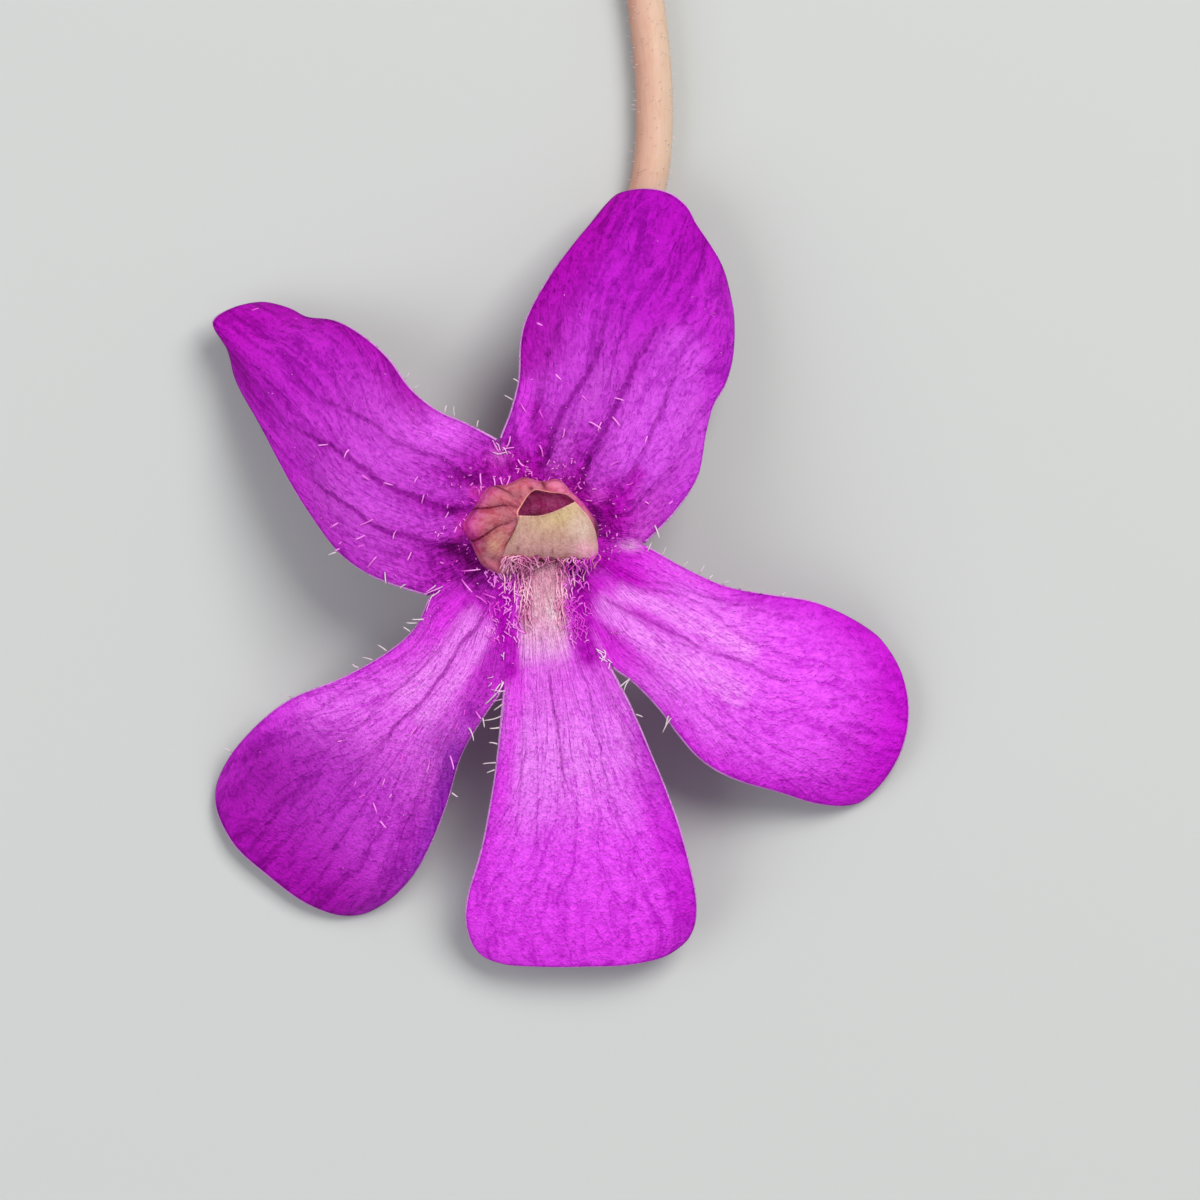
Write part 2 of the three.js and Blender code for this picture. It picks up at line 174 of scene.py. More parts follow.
def round_about(points):
    rows = np.array(points, float)

    def point(bearing):
        place = (bearing % 360) / 360 * len(rows)
        first = int(place) % len(rows)
        s = place - int(place)
        p0, p1, p2, p3 = (rows[(first + step) % len(rows)] for step in (-1, 0, 1, 2))
        bend = (2 * p0 - 5 * p1 + 4 * p2 - p3) * s * s + (3 * p1 - p0 - 3 * p2 + p3) * s**3
        return 0.5 * (2 * p1 + (p2 - p0) * s + bend)

    return point


print("between two bearings of a square", round_about([(1, 0), (0, 1), (-1, 0), (0, -1)])(45))

# %% Soft step, soft bump and a traced line


def smooth(x, low=0.0, high=1.0):
    t = min(1.0, max(0.0, (x - low) / (high - low)))
    return t * t * (3 - 2 * t)


def bell(x, y, centre_x, centre_y, half_x, half_y):
    return math.exp(-(((x - centre_x) / half_x) ** 2) - ((y - centre_y) / half_y) ** 2)


def traced(points, count):
    line = through(points)
    return np.array([line(share)[:2] for share in np.linspace(0, 1, count)])


print("soft step at 0.25", smooth(0.25))

# %% [markdown]
# ## Outline of the lobes
# These are the CAD model's own numbers. The margin of each lobe runs from one notch to the next, and its
# tip takes the part between the two shares. Each lobe also has its own tones, because the lobes catch the
# light differently: from the throat, over the middle, to the tip, and at the first and the last edge.

# %% Notches and heights
NOTCHES = [
    ((4.82, -0.82), -14),  # lower right | upper right
    ((-1.42, 3.65), 113),  # upper right | upper left
    ((-4.39, -3.05), 219),  # upper left | lower left
    ((-1.25, -7.05), 250),  # lower left | middle
    ((3.4, -6.1), 312),  # middle | lower right
]
LIMB_Z = 5.9
LIMB_RISE = 0.35
DROP_POWER = 1.6
HOLLOWS = [  # x, y, half sizes and depth of the dark hollows beside the hood
    (-3.0, -1.1, 0.6, 0.45, 0.4),
    (3.1, 0.1, 0.35, 0.8, 0.3),
]
STRIPE_X = 0.52  # the pale stripe below the throat stands on a low ridge
RIDGE_HEIGHT = 0.12
RIDGE_HALF = 0.85
print("the limb lies", LIMB_Z, "mm up, with", len(NOTCHES), "notches")

# %% Margin, form and tones of each lobe
LOBES = {
    "upper_right": dict(
        margin=[
            (6.1, 0.5), (7.1, 2.0), (7.45, 3.8), (7.78, 5.05), (8.3, 5.95), (8.62, 7.1), (8.68, 8.6),
            (8.5, 9.8), (8.15, 11.15), (7.58, 12.15), (6.98, 13.05), (6.68, 13.65), (5.95, 14.25),
            (5.2, 14.45), (4.4, 14.45), (3.7, 14.27), (3.15, 13.85), (2.3, 12.8), (1.72, 12.1), (0.7, 10.7),
            (-0.27, 8.97), (-0.56, 8.0), (-0.65, 6.2), (-0.95, 4.9),
        ],
        tip=(0.36, 0.62), drop=3.5, arch=0.5, tilt=0.15, wave=0.2,
        tones=[(168, 30, 174), (188, 66, 200), (170, 24, 180), (160, 6, 166)],
        edges=[(188, 46, 204), (152, 0, 146)],
    ),
    "upper_left": dict(
        margin=[
            (-2.8, 4.4), (-4.0, 4.95), (-5.15, 5.9), (-6.1, 7.2), (-7.5, 8.38), (-8.5, 8.85), (-9.6, 8.98),
            (-10.3, 9.35), (-11.6, 9.62), (-12.9, 9.38), (-13.77, 8.75), (-13.12, 7.6), (-12.7, 6.1),
            (-11.6, 4.1), (-10.4, 1.85), (-9.3, 0.1), (-8.2, -1.3), (-6.9, -2.2), (-5.4, -2.75),
        ],
        tip=(0.4, 0.56), drop=4.3, arch=0.5, tilt=0.4, wave=0.25,
        tones=[(180, 38, 184), (194, 74, 204), (172, 32, 180), (168, 8, 168)],
        edges=[(158, 4, 156), (176, 40, 182)],
    ),
    "lower_left": dict(
        margin=[
            (-5.0, -4.3), (-6.2, -5.35), (-8.2, -6.45), (-10.4, -7.35), (-12.1, -8.7), (-13.3, -10.3),
            (-13.68, -11.9), (-12.9, -13.7), (-11.5, -15.0), (-9.7, -16.3), (-8.0, -16.8), (-6.4, -16.3),
            (-5.1, -15.1), (-4.3, -13.7), (-3.55, -11.8), (-2.95, -9.8), (-2.1, -8.3),
        ],
        tip=(0.37, 0.66), drop=5.5, arch=0.55, tilt=-0.1, wave=0.15,
        tones=[(210, 52, 214), (238, 112, 244), (178, 50, 188), (164, 14, 166)],
        edges=[(226, 52, 234), (178, 46, 192)],
    ),
    "middle": dict(
        margin=[
            (-1.45, -9.0), (-1.8, -11.5), (-2.3, -14.0), (-2.85, -15.8), (-2.95, -17.0), (-2.5, -18.2),
            (-1.4, -18.8), (0.3, -18.95), (2.3, -18.95), (4.3, -18.85), (5.9, -18.4), (6.9, -17.4),
            (7.1, -16.2), (6.65, -13.9), (5.95, -11.7), (5.0, -9.4), (4.2, -7.6),
        ],
        tip=(0.355, 0.63), drop=4.3, arch=0.6, tilt=0.15, wave=0.15,
        tones=[(228, 96, 232), (242, 138, 250), (234, 80, 246), (226, 60, 236)],
        edges=[(230, 62, 238), (194, 26, 206)],
    ),
    "lower_right": dict(
        margin=[
            (4.2, -6.65), (5.4, -7.9), (6.2, -9.0), (7.2, -10.1), (8.6, -10.9), (10.4, -11.45),
            (12.2, -12.0), (13.8, -12.0), (15.0, -11.1), (15.9, -9.6), (16.2, -7.9), (15.8, -6.1),
            (14.8, -4.7), (13.5, -3.8), (11.9, -3.15), (10.0, -2.85), (8.2, -2.5), (6.5, -1.75),
            (5.6, -1.25),
        ],
        tip=(0.4, 0.66), drop=5.25, arch=0.55, tilt=0.1, wave=0.2,
        tones=[(216, 40, 218), (240, 124, 250), (234, 88, 246), (200, 22, 208)],
        edges=[(218, 38, 226), (196, 22, 206)],
    ),
}
LOBE_NAMES = list(LOBES)
print(len(LOBES), "lobes")

# %% [markdown]
# ## Sections of the hood
# Round the throat the limb rises into a soft fold. It is a swollen hood on the upper left, a thin rim on
# the right and almost flat below, where the stigma's flap covers it. At eighteen bearings the table says
# where the fold leaves the limb, where it is highest and where its free edge is.

# %% Foot, crest and lip of the fold at every 20 degrees
HOOD = [
    ((2.72, 0.0, 6.08), (2.6, 0.0, 6.42), (2.42, -0.02, 6.4)),
    ((2.22, 0.8, 6.1), (2.12, 0.76, 6.56), (2.0, 0.72, 6.54)),
    ((1.64, 1.38, 6.15), (1.56, 1.32, 6.74), (1.48, 1.24, 6.74)),
    ((1.1, 1.9, 6.18), (1.0, 1.62, 6.86), (0.78, 1.34, 6.9)),
    ((0.36, 1.82, 6.2), (0.26, 1.66, 6.84), (0.15, 1.45, 6.94)),
    ((-0.34, 1.98, 6.2), (-0.28, 1.6, 7.0), (-0.16, 1.2, 7.02)),
    ((-0.98, 1.7, 6.2), (-0.75, 1.3, 6.98), (-0.38, 0.84, 7.02)),
    ((-1.85, 1.56, 6.15), (-1.2, 1.0, 7.02), (-0.55, 0.52, 6.98)),
    ((-2.34, 0.86, 6.12), (-1.45, 0.6, 7.0), (-0.5, 0.2, 6.92)),
    ((-2.88, 0.0, 6.08), (-1.6, 0.1, 6.95), (-0.5, 0.0, 6.86)),
    ((-2.45, -0.89, 6.05), (-1.55, -0.5, 6.84), (-0.6, -0.25, 6.76)),
    ((-2.05, -1.72, 6.0), (-1.45, -1.15, 6.6), (-0.75, -0.67, 6.55)),
    ((-1.2, -2.06, 6.0), (-1.0, -1.6, 6.26), (-0.72, -1.2, 6.26)),
    ((-0.3, -1.6, 5.98), (-0.26, -1.42, 6.1), (-0.2, -1.15, 6.08)),
    ((0.26, -1.45, 5.98), (0.24, -1.32, 6.08), (0.2, -1.1, 6.06)),
    ((0.82, -1.42, 5.98), (0.75, -1.3, 6.1), (0.65, -1.1, 6.08)),
    ((1.66, -1.4, 6.0), (1.56, -1.3, 6.16), (1.4, -1.15, 6.14)),
    ((2.6, -0.95, 6.04), (2.48, -0.9, 6.3), (2.3, -0.84, 6.3)),
]
hood_foot, hood_crest, hood_lip = (round_about([row[part] for row in HOOD]) for part in range(3))


def throat_point(bearing):
    x, y, _ = hood_foot(bearing)
    return np.array([x, y, 0.0]) * 0.93


print("the lobes start at", throat_point(0).round(2))

# %% [markdown]
# ## One lobe as a four-sided patch
# A lobe is a sheet with four sides: its base on the throat's edge, two flanks and the tip. A Coons patch
# fills the space between four such curves evenly, so that a flat grid can be moved onto it, and the grid's
# UV then runs along the lobe as the veins do. The height falls towards the tip and the flanks, with slow
# waves along them.

# %% Patch between four curves


def patch(base, tip, first, second):
    near_first, near_second, far_first, far_second = first(0), second(0), first(1), second(1)

    def point(u, v):
        flat = base(u) * (1 - v) + tip(u) * v + first(v) * (1 - u) + second(v) * u
        flat -= near_first * (1 - u) * (1 - v) + near_second * u * (1 - v)
        return flat - far_first * (1 - u) * v - far_second * u * v

    return point


print("a patch fills the space between its base, tip and two flanks")

# %% Surface of a lobe
RING_SHARE = 0.125  # share of a lobe's rows that lie between the throat and the notches


def lobe_surface(name):
    index = LOBE_NAMES.index(name)
    lobe = LOBES[name]
    (start, start_bearing), (end, end_bearing) = NOTCHES[index], NOTCHES[(index + 1) % len(NOTCHES)]
    if end_bearing < start_bearing:
        end_bearing += 360
    margin = through([start, *lobe["margin"], end])
    tip_from, tip_to = lobe["tip"]

    def flank(notch, bearing, on_margin):
        inner, outer = throat_point(bearing), np.array([*notch, 0.0])

        def point(v):
            if v <= RING_SHARE:
                return inner + (outer - inner) * (v / RING_SHARE)
            return on_margin((v - RING_SHARE) / (1 - RING_SHARE))

        return point

    flat = patch(
        lambda u: throat_point(start_bearing + (end_bearing - start_bearing) * u),
        lambda u: margin(tip_from + (tip_to - tip_from) * u),
        flank(start, start_bearing, lambda q: margin(q * tip_from)),
        flank(end, end_bearing, lambda q: margin(1 - q * (1 - tip_to))),
    )

    def point(u, v):
        x, y, _ = flat(u, v)
        q = max(0.0, (v - RING_SHARE) / (1 - RING_SHARE))
        t = 2 * u - 1
        wave = lobe["wave"] * math.sin(2.5 * math.pi * q + 2 * t) * t * t
        form = (-lobe["arch"] * t * t + lobe["tilt"] * t + wave) * smooth(q, 0, 0.5)
        rise = LIMB_RISE * smooth(v, 0, RING_SHARE)
        ripple = 0.05 * noise.noise(Vector((x, y, index)) * 0.9) * smooth(v, 0.1, 0.3)
        ripple += 0.04 * math.sin(31 * q + 9 * index) * abs(t) ** 5 * smooth(q, 0.2, 0.6)
        pit = sum(depth * bell(x, y, *hollow) for *hollow, depth in HOLLOWS)
        ridge = RIDGE_HEIGHT * math.exp(-(((x - STRIPE_X) / RIDGE_HALF) ** 4))
        ridge *= smooth(-y, 1.2, 2.0) * (1 - smooth(-y, 4.0, 6.5))
        return Vector((x, y, LIMB_Z + rise - lobe["drop"] * q**DROP_POWER + form + ripple - pit + ridge))

    return point


surfaces = {name: lobe_surface(name) for name in LOBES}
print("tip of the middle lobe", surfaces["middle"](0.5, 1.0))

# %% [markdown]
# ## Tones over a lobe
# The skin's large colour changes are worked out at each vertex and kept in a colour attribute, which the
# material reads. Tones are given as screen colours from 0 to 255 and turned into linear light here. Soft
# spots add what a gradient can't: the black-purple hollows beside the hood, with painted shadow in the right
# one, the pale swellings, partly their own colour and partly painted highlight, and the pale stripe below
# the throat that leads insects in.

# %% Tones


def linear(colour):
    scaled = np.array(colour[:3], float) / 255
    return np.where(scaled < 0.04045, scaled / 12.92, ((scaled + 0.055) / 1.055) ** 2.4)


def blend(a, b, share):
    return a * (1 - share) + b * share


def steps(stops):
    places = [place for place, _ in stops]
    colours = np.array([linear(colour) for _, colour in stops])
    return lambda value: np.array([np.interp(value, places, colours[:, axis]) for axis in range(3)])


def in_light(spots):
    return [(*spot[:-1], linear(spot[-1])) for spot in spots]


FAINT = math.exp(-5)  # past this share a spot is left out


def spotted(tone, spots, x, y):
    for *place, strength, colour in spots:
        share = bell(x, y, *place)
        if share > FAINT:
            tone = blend(tone, colour, strength * share)
    return tone


print("magenta in linear light", linear((226, 60, 236)).round(2))

# %% Spots on the lobes
LIMB_SPOTS = in_light([  # x, y, half sizes, strength, colour
    (-3.9, 4.0, 1.3, 0.9, 0.8, (236, 106, 246)),
    (-1.5, 2.5, 1.2, 0.6, 0.75, (172, 22, 162)),
    (-0.1, 2.5, 0.9, 0.55, 0.7, (186, 16, 176)),
    (1.15, 2.45, 0.5, 0.4, 0.8, (196, 60, 196)),
    (2.1, 1.8, 0.5, 0.9, 0.85, (168, 6, 162)),
    (3.1, 0.8, 0.7, 0.8, 0.9, (190, 10, 184)),
    (3.8, 0.2, 1.1, 0.9, 0.75, (192, 12, 184)),
    (4.6, 1.2, 1.2, 0.6, 0.5, (172, 24, 172)),
    (2.85, 1.25, 0.35, 0.35, 0.85, (222, 80, 218)),
    (4.7, -0.15, 0.55, 0.35, 0.8, (206, 92, 206)),
    (-1.4, 3.1, 0.3, 0.3, 0.7, (210, 108, 200)),
    (-2.5, -1.85, 0.55, 0.5, 0.95, (72, 2, 52)),
    (-3.4, -2.0, 0.9, 0.6, 0.6, (138, 6, 136)),
    (-3.05, -0.1, 0.25, 0.55, 0.8, (210, 58, 168)),
    (-2.4, 1.4, 0.35, 0.35, 0.75, (222, 72, 180)),
    (-1.4, 2.9, 0.35, 0.3, 0.5, (222, 104, 212)),
    (0.5, 2.95, 0.5, 0.3, 0.6, (196, 30, 196)),
    (-1.9, -2.4, 0.7, 0.5, 0.8, (96, 2, 94)),
    (1.8, -2.5, 0.5, 0.6, 0.9, (146, 4, 140)),
    (2.45, -1.75, 0.4, 0.3, 0.9, (232, 84, 240)),
    (-0.95, -1.9, 0.35, 0.25, 0.85, (204, 122, 166)),
    (3.0, -1.8, 0.8, 0.5, 0.8, (160, 8, 154)),
    (4.2, -0.87, 0.46, 0.22, 0.95, (214, 166, 208)),
    (-4.0, -9.3, 0.9, 1.1, 0.65, (172, 70, 188)),
    (-2.75, -3.4, 0.5, 0.5, 0.8, (186, 26, 186)),
    (2.9, -7.5, 0.6, 1.0, 0.5, (204, 66, 214)),
    (-11.6, -10.6, 1.9, 1.7, 0.85, (142, 18, 146)),
    (-8.0, -7.7, 2.1, 1.2, 0.85, (240, 120, 248)),
    (-9.6, 4.1, 1.2, 1.0, 0.4, (196, 64, 204)),
    (-6.4, -12.9, 1.5, 2.1, 0.7, (204, 68, 214)),
    (6.8, 4.0, 0.9, 1.7, 0.55, (214, 100, 226)),
    (5.1, 0.6, 0.8, 0.7, 0.6, (206, 88, 210)),
    (7.7, 9.4, 0.9, 1.6, 0.5, (198, 54, 212)),
    (1.4, 2.9, 0.5, 0.7, 0.55, (204, 70, 208)),
    (3.1, -2.1, 0.4, 0.3, 0.7, (214, 60, 220)),
    (-8.3, 1.3, 1.2, 1.0, 0.35, (206, 84, 212)),
    (-5.9, -1.9, 1.0, 0.6, 0.4, (206, 76, 210)),
    (13.0, -4.5, 1.6, 0.9, 0.5, (196, 10, 206)),
    (1.3, 3.6, 0.45, 0.6, 0.5, (208, 90, 208)),
    (2.8, -3.3, 0.4, 0.35, 0.75, (210, 40, 212)),
])
print(len(LIMB_SPOTS), "spots")

# %% Bands along the lobes
LIMB_BANDS = [  # line on the plan, half width, strength, colour
    ([(-2.7, -4.1), (-3.3, -5.1), (-4.2, -6.2), (-5.4, -7.3)], 0.55, 0.85, (244, 142, 250)),
    ([(-2.0, -4.6), (-2.7, -5.8), (-3.8, -7.3), (-4.6, -8.2)], 0.42, 0.85, (244, 144, 250)),
    ([(-2.9, -3.0), (-4.2, -4.4), (-5.8, -5.7)], 0.35, 0.5, (232, 60, 236)),
    ([(-0.95, -2.2), (-1.15, -3.6), (-1.0, -5.2), (-0.95, -6.4)], 0.5, 0.95, (186, 2, 188)),
    ([(-1.4, -5.5), (-1.75, -6.5), (-2.6, -8.0)], 0.5, 0.8, (190, 50, 196)),
    ([(-2.6, -7.8), (-3.2, -9.4), (-3.8, -11.4)], 0.4, 0.5, (160, 44, 182)),
    (
        [(3.8, -2.9), (5.0, -3.3), (6.3, -3.9), (7.2, -4.3), (8.1, -4.8), (9.2, -5.4)],
        0.42, 0.85, (246, 150, 252),
    ),
    (
        [(3.1, -3.5), (3.9, -4.15), (4.7, -4.75), (5.9, -5.5), (7.2, -6.2), (8.6, -7.2)],
        0.58, 0.85, (246, 150, 252),
    ),
    ([(3.0, -1.5), (3.9, -2.1), (4.5, -2.4)], 0.24, 0.8, (198, 6, 196)),
    ([(3.3, -3.3), (4.0, -3.65), (4.6, -3.9), (5.9, -4.55)], 0.1, 0.1, (204, 60, 212)),
    ([(2.0, -1.9), (2.0, -3.0)], 0.4, 0.9, (150, 4, 146)),
    ([(2.0, -3.3), (2.2, -4.8), (2.45, -5.8)], 0.52, 0.95, (186, 2, 188)),
    ([(2.8, -3.9), (3.5, -5.2), (4.4, -6.2)], 0.26, 0.35, (218, 60, 222)),
    ([(5.0, -1.6), (6.6, -2.2), (8.4, -2.8)], 0.4, 0.5, (244, 88, 250)),
    ([(7.0, -7.6), (8.8, -8.8), (10.6, -9.6)], 0.9, 0.35, (238, 88, 250)),
    ([(4.4, -10.8), (5.7, -14.0), (6.5, -16.6)], 0.5, 0.5, (204, 20, 214)),
    ([(-3.9, -0.6), (-5.3, -0.75)], 0.3, 0.55, (204, 72, 210)),
    ([(0.9, 2.6), (1.5, 4.0), (2.2, 5.0), (3.0, 6.4)], 0.42, 0.6, (188, 80, 198)),
    ([(2.7, 1.9), (3.3, 3.0), (4.0, 4.2), (4.6, 5.6)], 0.5, 0.6, (198, 84, 208)),
    ([(4.6, 2.9), (5.2, 4.4), (5.8, 5.8), (6.2, 7.2)], 1.3, 0.55, (214, 96, 232)),
    ([(4.6, 1.4), (5.6, 1.6), (6.3, 2.2)], 0.5, 0.5, (198, 76, 206)),
    ([(3.3, 0.7), (3.8, 1.1), (4.5, 2.2)], 0.32, 0.75, (180, 4, 176)),
    ([(0.3, 7.6), (1.2, 10.2), (2.5, 12.4)], 1.1, 0.6, (156, 0, 154)),
    ([(0.1, 2.2), (0.4, 3.4), (0.1, 5.0)], 0.35, 0.6, (172, 16, 170)),
    ([(-0.2, 3.4), (-0.35, 4.6), (-0.3, 6.0)], 0.3, 0.6, (226, 64, 232)),
    # painted shadow in the hollow right of the hood's rim
    ([(2.62, 0.75), (2.9, 0.2), (2.98, -0.45)], 0.17, 0.9, (70, 0, 60)),
    ([(-3.0, 1.3), (-4.2, 1.6), (-5.4, 2.1), (-6.8, 3.0)], 0.42, 0.5, (196, 76, 208)),
    ([(-3.6, 0.0), (-4.8, 0.1), (-6.0, 0.6), (-7.4, 1.5)], 0.5, 0.6, (198, 78, 210)),
    ([(-2.0, 2.1), (-2.6, 2.0), (-3.1, 2.05)], 0.3, 0.85, (132, 2, 128)),
    ([(-2.9, 0.62), (-3.5, 0.64)], 0.14, 0.6, (126, 0, 122)),
    ([(-2.4, -1.8), (-2.9, -1.2), (-3.5, -1.0)], 0.4, 0.92, (76, 0, 62)),
    ([(-3.6, -1.0), (-4.3, -1.1)], 0.25, 0.3, (130, 0, 126)),
    ([(-3.3, -9.8), (-4.0, -12.6), (-5.0, -15.2)], 0.5, 0.55, (138, 44, 176)),
    ([(-0.45, -6.6), (-0.9, -9.0), (-1.4, -12.0)], 0.35, 0.5, (236, 52, 240)),
    ([(0.4, -6.6), (0.4, -9.0), (0.2, -12.0)], 0.8, 0.3, (240, 132, 250)),
    ([(2.2, -6.6), (3.2, -9.5), (4.0, -12.5)], 0.7, 0.35, (236, 118, 250)),
]
LIMB_BANDS = in_light([(traced(line, 24), *look) for line, *look in LIMB_BANDS])


def banded(tone, x, y):
    for line, half, strength, colour in LIMB_BANDS:
        near = np.min((line[:, 0] - x) ** 2 + (line[:, 1] - y) ** 2) / half**2
        if near < 5:
            tone = blend(tone, colour, strength * math.exp(-near * near))
    return tone


print(len(LIMB_BANDS), "bands")

# %% Pale stripe, and the tone at any place of a lobe
STRIPE_HALF = 1.02
STRIPE_TONES = steps([
    (1.4, (244, 188, 198)), (2.2, (232, 172, 186)), (3.0, (232, 178, 188)), (3.7, (232, 180, 198)),
    (4.5, (236, 178, 214)), (5.3, (242, 184, 234)), (6.3, (246, 170, 248)),
])
STRIPE_SPOTS = in_light([
    (0.88, -3.6, 0.26, 0.6, 0.95, (255, 232, 234)),
    (0.14, -3.3, 0.14, 0.6, 0.6, (242, 200, 206)),
    (0.95, -4.8, 0.2, 0.6, 0.6, (242, 186, 220)),
    (0.1, -4.9, 0.2, 0.6, 0.6, (242, 186, 220)),
    (-0.75, -2.0, 0.4, 0.35, 0.85, (246, 156, 210)),
    (-0.4, -2.0, 0.25, 0.35, 0.6, (244, 184, 206)),
    (1.35, -2.0, 0.22, 0.35, 0.6, (240, 170, 204)),
])
STRIPE_BORDER = linear((204, 104, 176))


def lobe_tone(name, u, v, x, y):
    lobe = LOBES[name]
    near, body, far, tip = (linear(c) for c in lobe["tones"])
    tone = blend(near, body, smooth(v, 0.08, 0.32))
    tone = blend(tone, far, smooth(v, 0.35, 0.68))
    tone = blend(tone, tip, smooth(v, 0.68, 0.97))
    first, last = (linear(c) for c in lobe["edges"])
    tone = blend(tone, first, 0.85 * smooth(0.22 - u, 0, 0.22) * smooth(v, 0.15, 0.4))
    tone = blend(tone, last, 0.85 * smooth(u - 0.78, 0, 0.22) * smooth(v, 0.15, 0.4))
    tone = banded(spotted(tone, LIMB_SPOTS, x, y), x, y)
    ragged = 0.07 * noise.noise(Vector((0, y * 2.5, x * 0.6)))
    widening = 0.95 * smooth(2.7 + y, 0, 1.1) if x < STRIPE_X else 0.0
    stripe = 1 - smooth(abs(x - STRIPE_X) + ragged - widening, STRIPE_HALF - 0.16, STRIPE_HALF + 0.12)
    stripe *= (1 - smooth(-y, 4.9, 6.4)) * smooth(-y, 0.8, 1.2)
    border = smooth(abs(x - STRIPE_X - 0.08) + ragged, 0.5, 0.78) * (1 - smooth(-y, 3.2, 4.4))
    stripe_tone = spotted(blend(STRIPE_TONES(-y), STRIPE_BORDER, 0.8 * border), STRIPE_SPOTS, x, y)
    return blend(tone, stripe_tone, 0.95 * stripe)


print("tone of the middle lobe", lobe_tone("middle", 0.5, 0.5, 2, -10).round(2))

# %% [markdown]
# ## Building the limb
# Each lobe starts as a flat grid made with its UVs, which is moved onto the lobe's surface. The UV of each
# lobe is shifted by whole numbers, so that the material can give each lobe its own veins, and it narrows
# towards the tip, so that the veins fan out there. One attribute holds the tone of each vertex and another
# its distance to the margin, for the pale hem: the petal's clear margin, with painted light shining through
# it.
# Then a Solidify modifier gives the sheet its thickness downwards, and one subdivision rounds it.

# %% Grid moved onto a surface
INLAND = 9.0  # millimetres, a distance to the margin past which nothing changes
U, V, SHIFT = 3, 4, 5  # places in a grid's rows, after x, y and z


def moved_grid(bm, columns, rows, place, tone, uv_shift=0.0, rim=lambda u, v: INLAND, fan=lambda u, v: u):
    uv_layer = bm.loops.layers.uv.get("along") or bm.loops.layers.uv.new("along")
    tint = bm.verts.layers.float_color.get("tint") or bm.verts.layers.float_color.new("tint")
    margin = bm.verts.layers.float.get("margin") or bm.verts.layers.float.new("margin")
    made = bmesh.ops.create_grid(bm, x_segments=columns, y_segments=rows, size=0.5)["verts"]
    flat = {vert: (vert.co.x + 0.5, vert.co.y + 0.5) for vert in made}
    for face in {face for vert in made for face in vert.link_faces}:
        for loop in face.loops:
            u, v = flat[loop.vert]
            loop[uv_layer].uv = (fan(u, v) + uv_shift, v)
    found = []
    for vert, (u, v) in flat.items():
        point = place(u, v)
        vert[tint] = (*tone(u, v, point), 1.0)
        vert[margin] = rim(u, v)
        vert.co = at(*point)
        found.append((*point, u, v, uv_shift))
    return found


print("grids carry the layers along, tint and margin")

# %% Faces outward, seams welded, piece finished
WELD_REACH = 0.002  # millimetres


def face_out(bm, upwards=None):
    bmesh.ops.recalc_face_normals(bm, faces=bm.faces)
    if upwards is not None:
        rise = sum(face.normal.z * face.calc_area() for face in bm.faces)
        if (rise > 0) != upwards:
            bmesh.ops.reverse_faces(bm, faces=bm.faces)


def weld(bm, distance=WELD_REACH):
    bmesh.ops.remove_doubles(bm, verts=bm.verts, dist=distance * MM)


def finish_piece(name, bm, material):
    mesh = bpy.data.meshes.new(name)
    bm.to_mesh(mesh)
    bm.free()
    mesh.polygons.foreach_set("use_smooth", [True] * len(mesh.polygons))
    piece = bpy.data.objects.new(name, mesh)
    bpy.context.collection.objects.link(piece)
    mesh.materials.append(material)
    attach(piece, "root")
    print(name, len(mesh.polygons), "faces")
    return piece


print("seams are welded within", WELD_REACH, "mm")

# %% Thickness and rounding


def thicken(piece, thickness, rim_crease=0.0):
    wall = piece.modifiers.new("wall", "SOLIDIFY")
    wall.thickness = thickness * MM
    wall.offset = -1.0
    wall.edge_crease_rim = rim_crease
    round_off = piece.modifiers.new("round_off", "SUBSURF")
    round_off.levels = 1
    round_off.render_levels = 1


print("a sheet grows downwards from the surface that was drawn")

# %% Limb: five lobes, welded at their shared flanks
COLUMNS = 28
ROWS = 54
LOBE_LENGTH = 13.0


def fanned(u, v):
    return 0.5 + (u - 0.5) / (1 + 1.1 * smooth(v, 0.25, 1.05))


limb_bm = bmesh.new()
limb_grid = []
for index, (name, surface) in enumerate(surfaces.items()):

    def colour_of(u, v, p, name=name):
        return lobe_tone(name, u, v, p.x, p.y)

    def to_margin(u, v, surface=surface):
        if v <= RING_SHARE:
            return INLAND
        width = (surface(1, v) - surface(0, v)).length
        return min(min(u, 1 - u) * width, (1 - v) * LOBE_LENGTH)

    limb_grid += moved_grid(limb_bm, COLUMNS, ROWS, surface, colour_of, index, to_margin, fanned)
limb_grid = np.array(limb_grid)
weld(limb_bm)
face_out(limb_bm, upwards=True)
print("limb", len(limb_bm.faces), "faces")

# %% [markdown]
# ## Finding a place on the limb
# Veins and hairs are easiest to place on the plan, as seen from above. This helper walks from a place on
# the plan to the lobe's own coordinates with a few steps of Newton's method, starting from the nearest grid
# vertex.

# %% From the plan to a lobe


def settle(surface, u, v, x, y):
    for _ in range(4):
        step_u, step_v = (0.01 if u < 0.5 else -0.01), (0.01 if v < 0.5 else -0.01)
        here = surface(u, v)
        across = (surface(u + step_u, v) - here) / step_u
        along = (surface(u, v + step_v) - here) / step_v
        spread = across.x * along.y - across.y * along.x
        if abs(spread) < 1e-6:
            break
        miss_x, miss_y = x - here.x, y - here.y
        u = min(1.0, max(0.0, u + (miss_x * along.y - miss_y * along.x) / spread))
        v = min(1.0, max(0.0, v + (across.x * miss_y - across.y * miss_x) / spread))
    return u, v


def nearest_row(grid, x, y):
    return grid[np.argmin(np.hypot(grid[:, 0] - x, grid[:, 1] - y))]


def locate(x, y, lobe=None):
    row = nearest_row(limb_grid if lobe is None else limb_grid[limb_grid[:, SHIFT] == lobe], x, y)
    index = int(row[SHIFT])
    surface = surfaces[LOBE_NAMES[index]]
    u, v = settle(surface, row[U], row[V], x, y)
    return index, u, v, surface(u, v)


print("above the middle lobe", locate(2.0, -12.0)[:3])

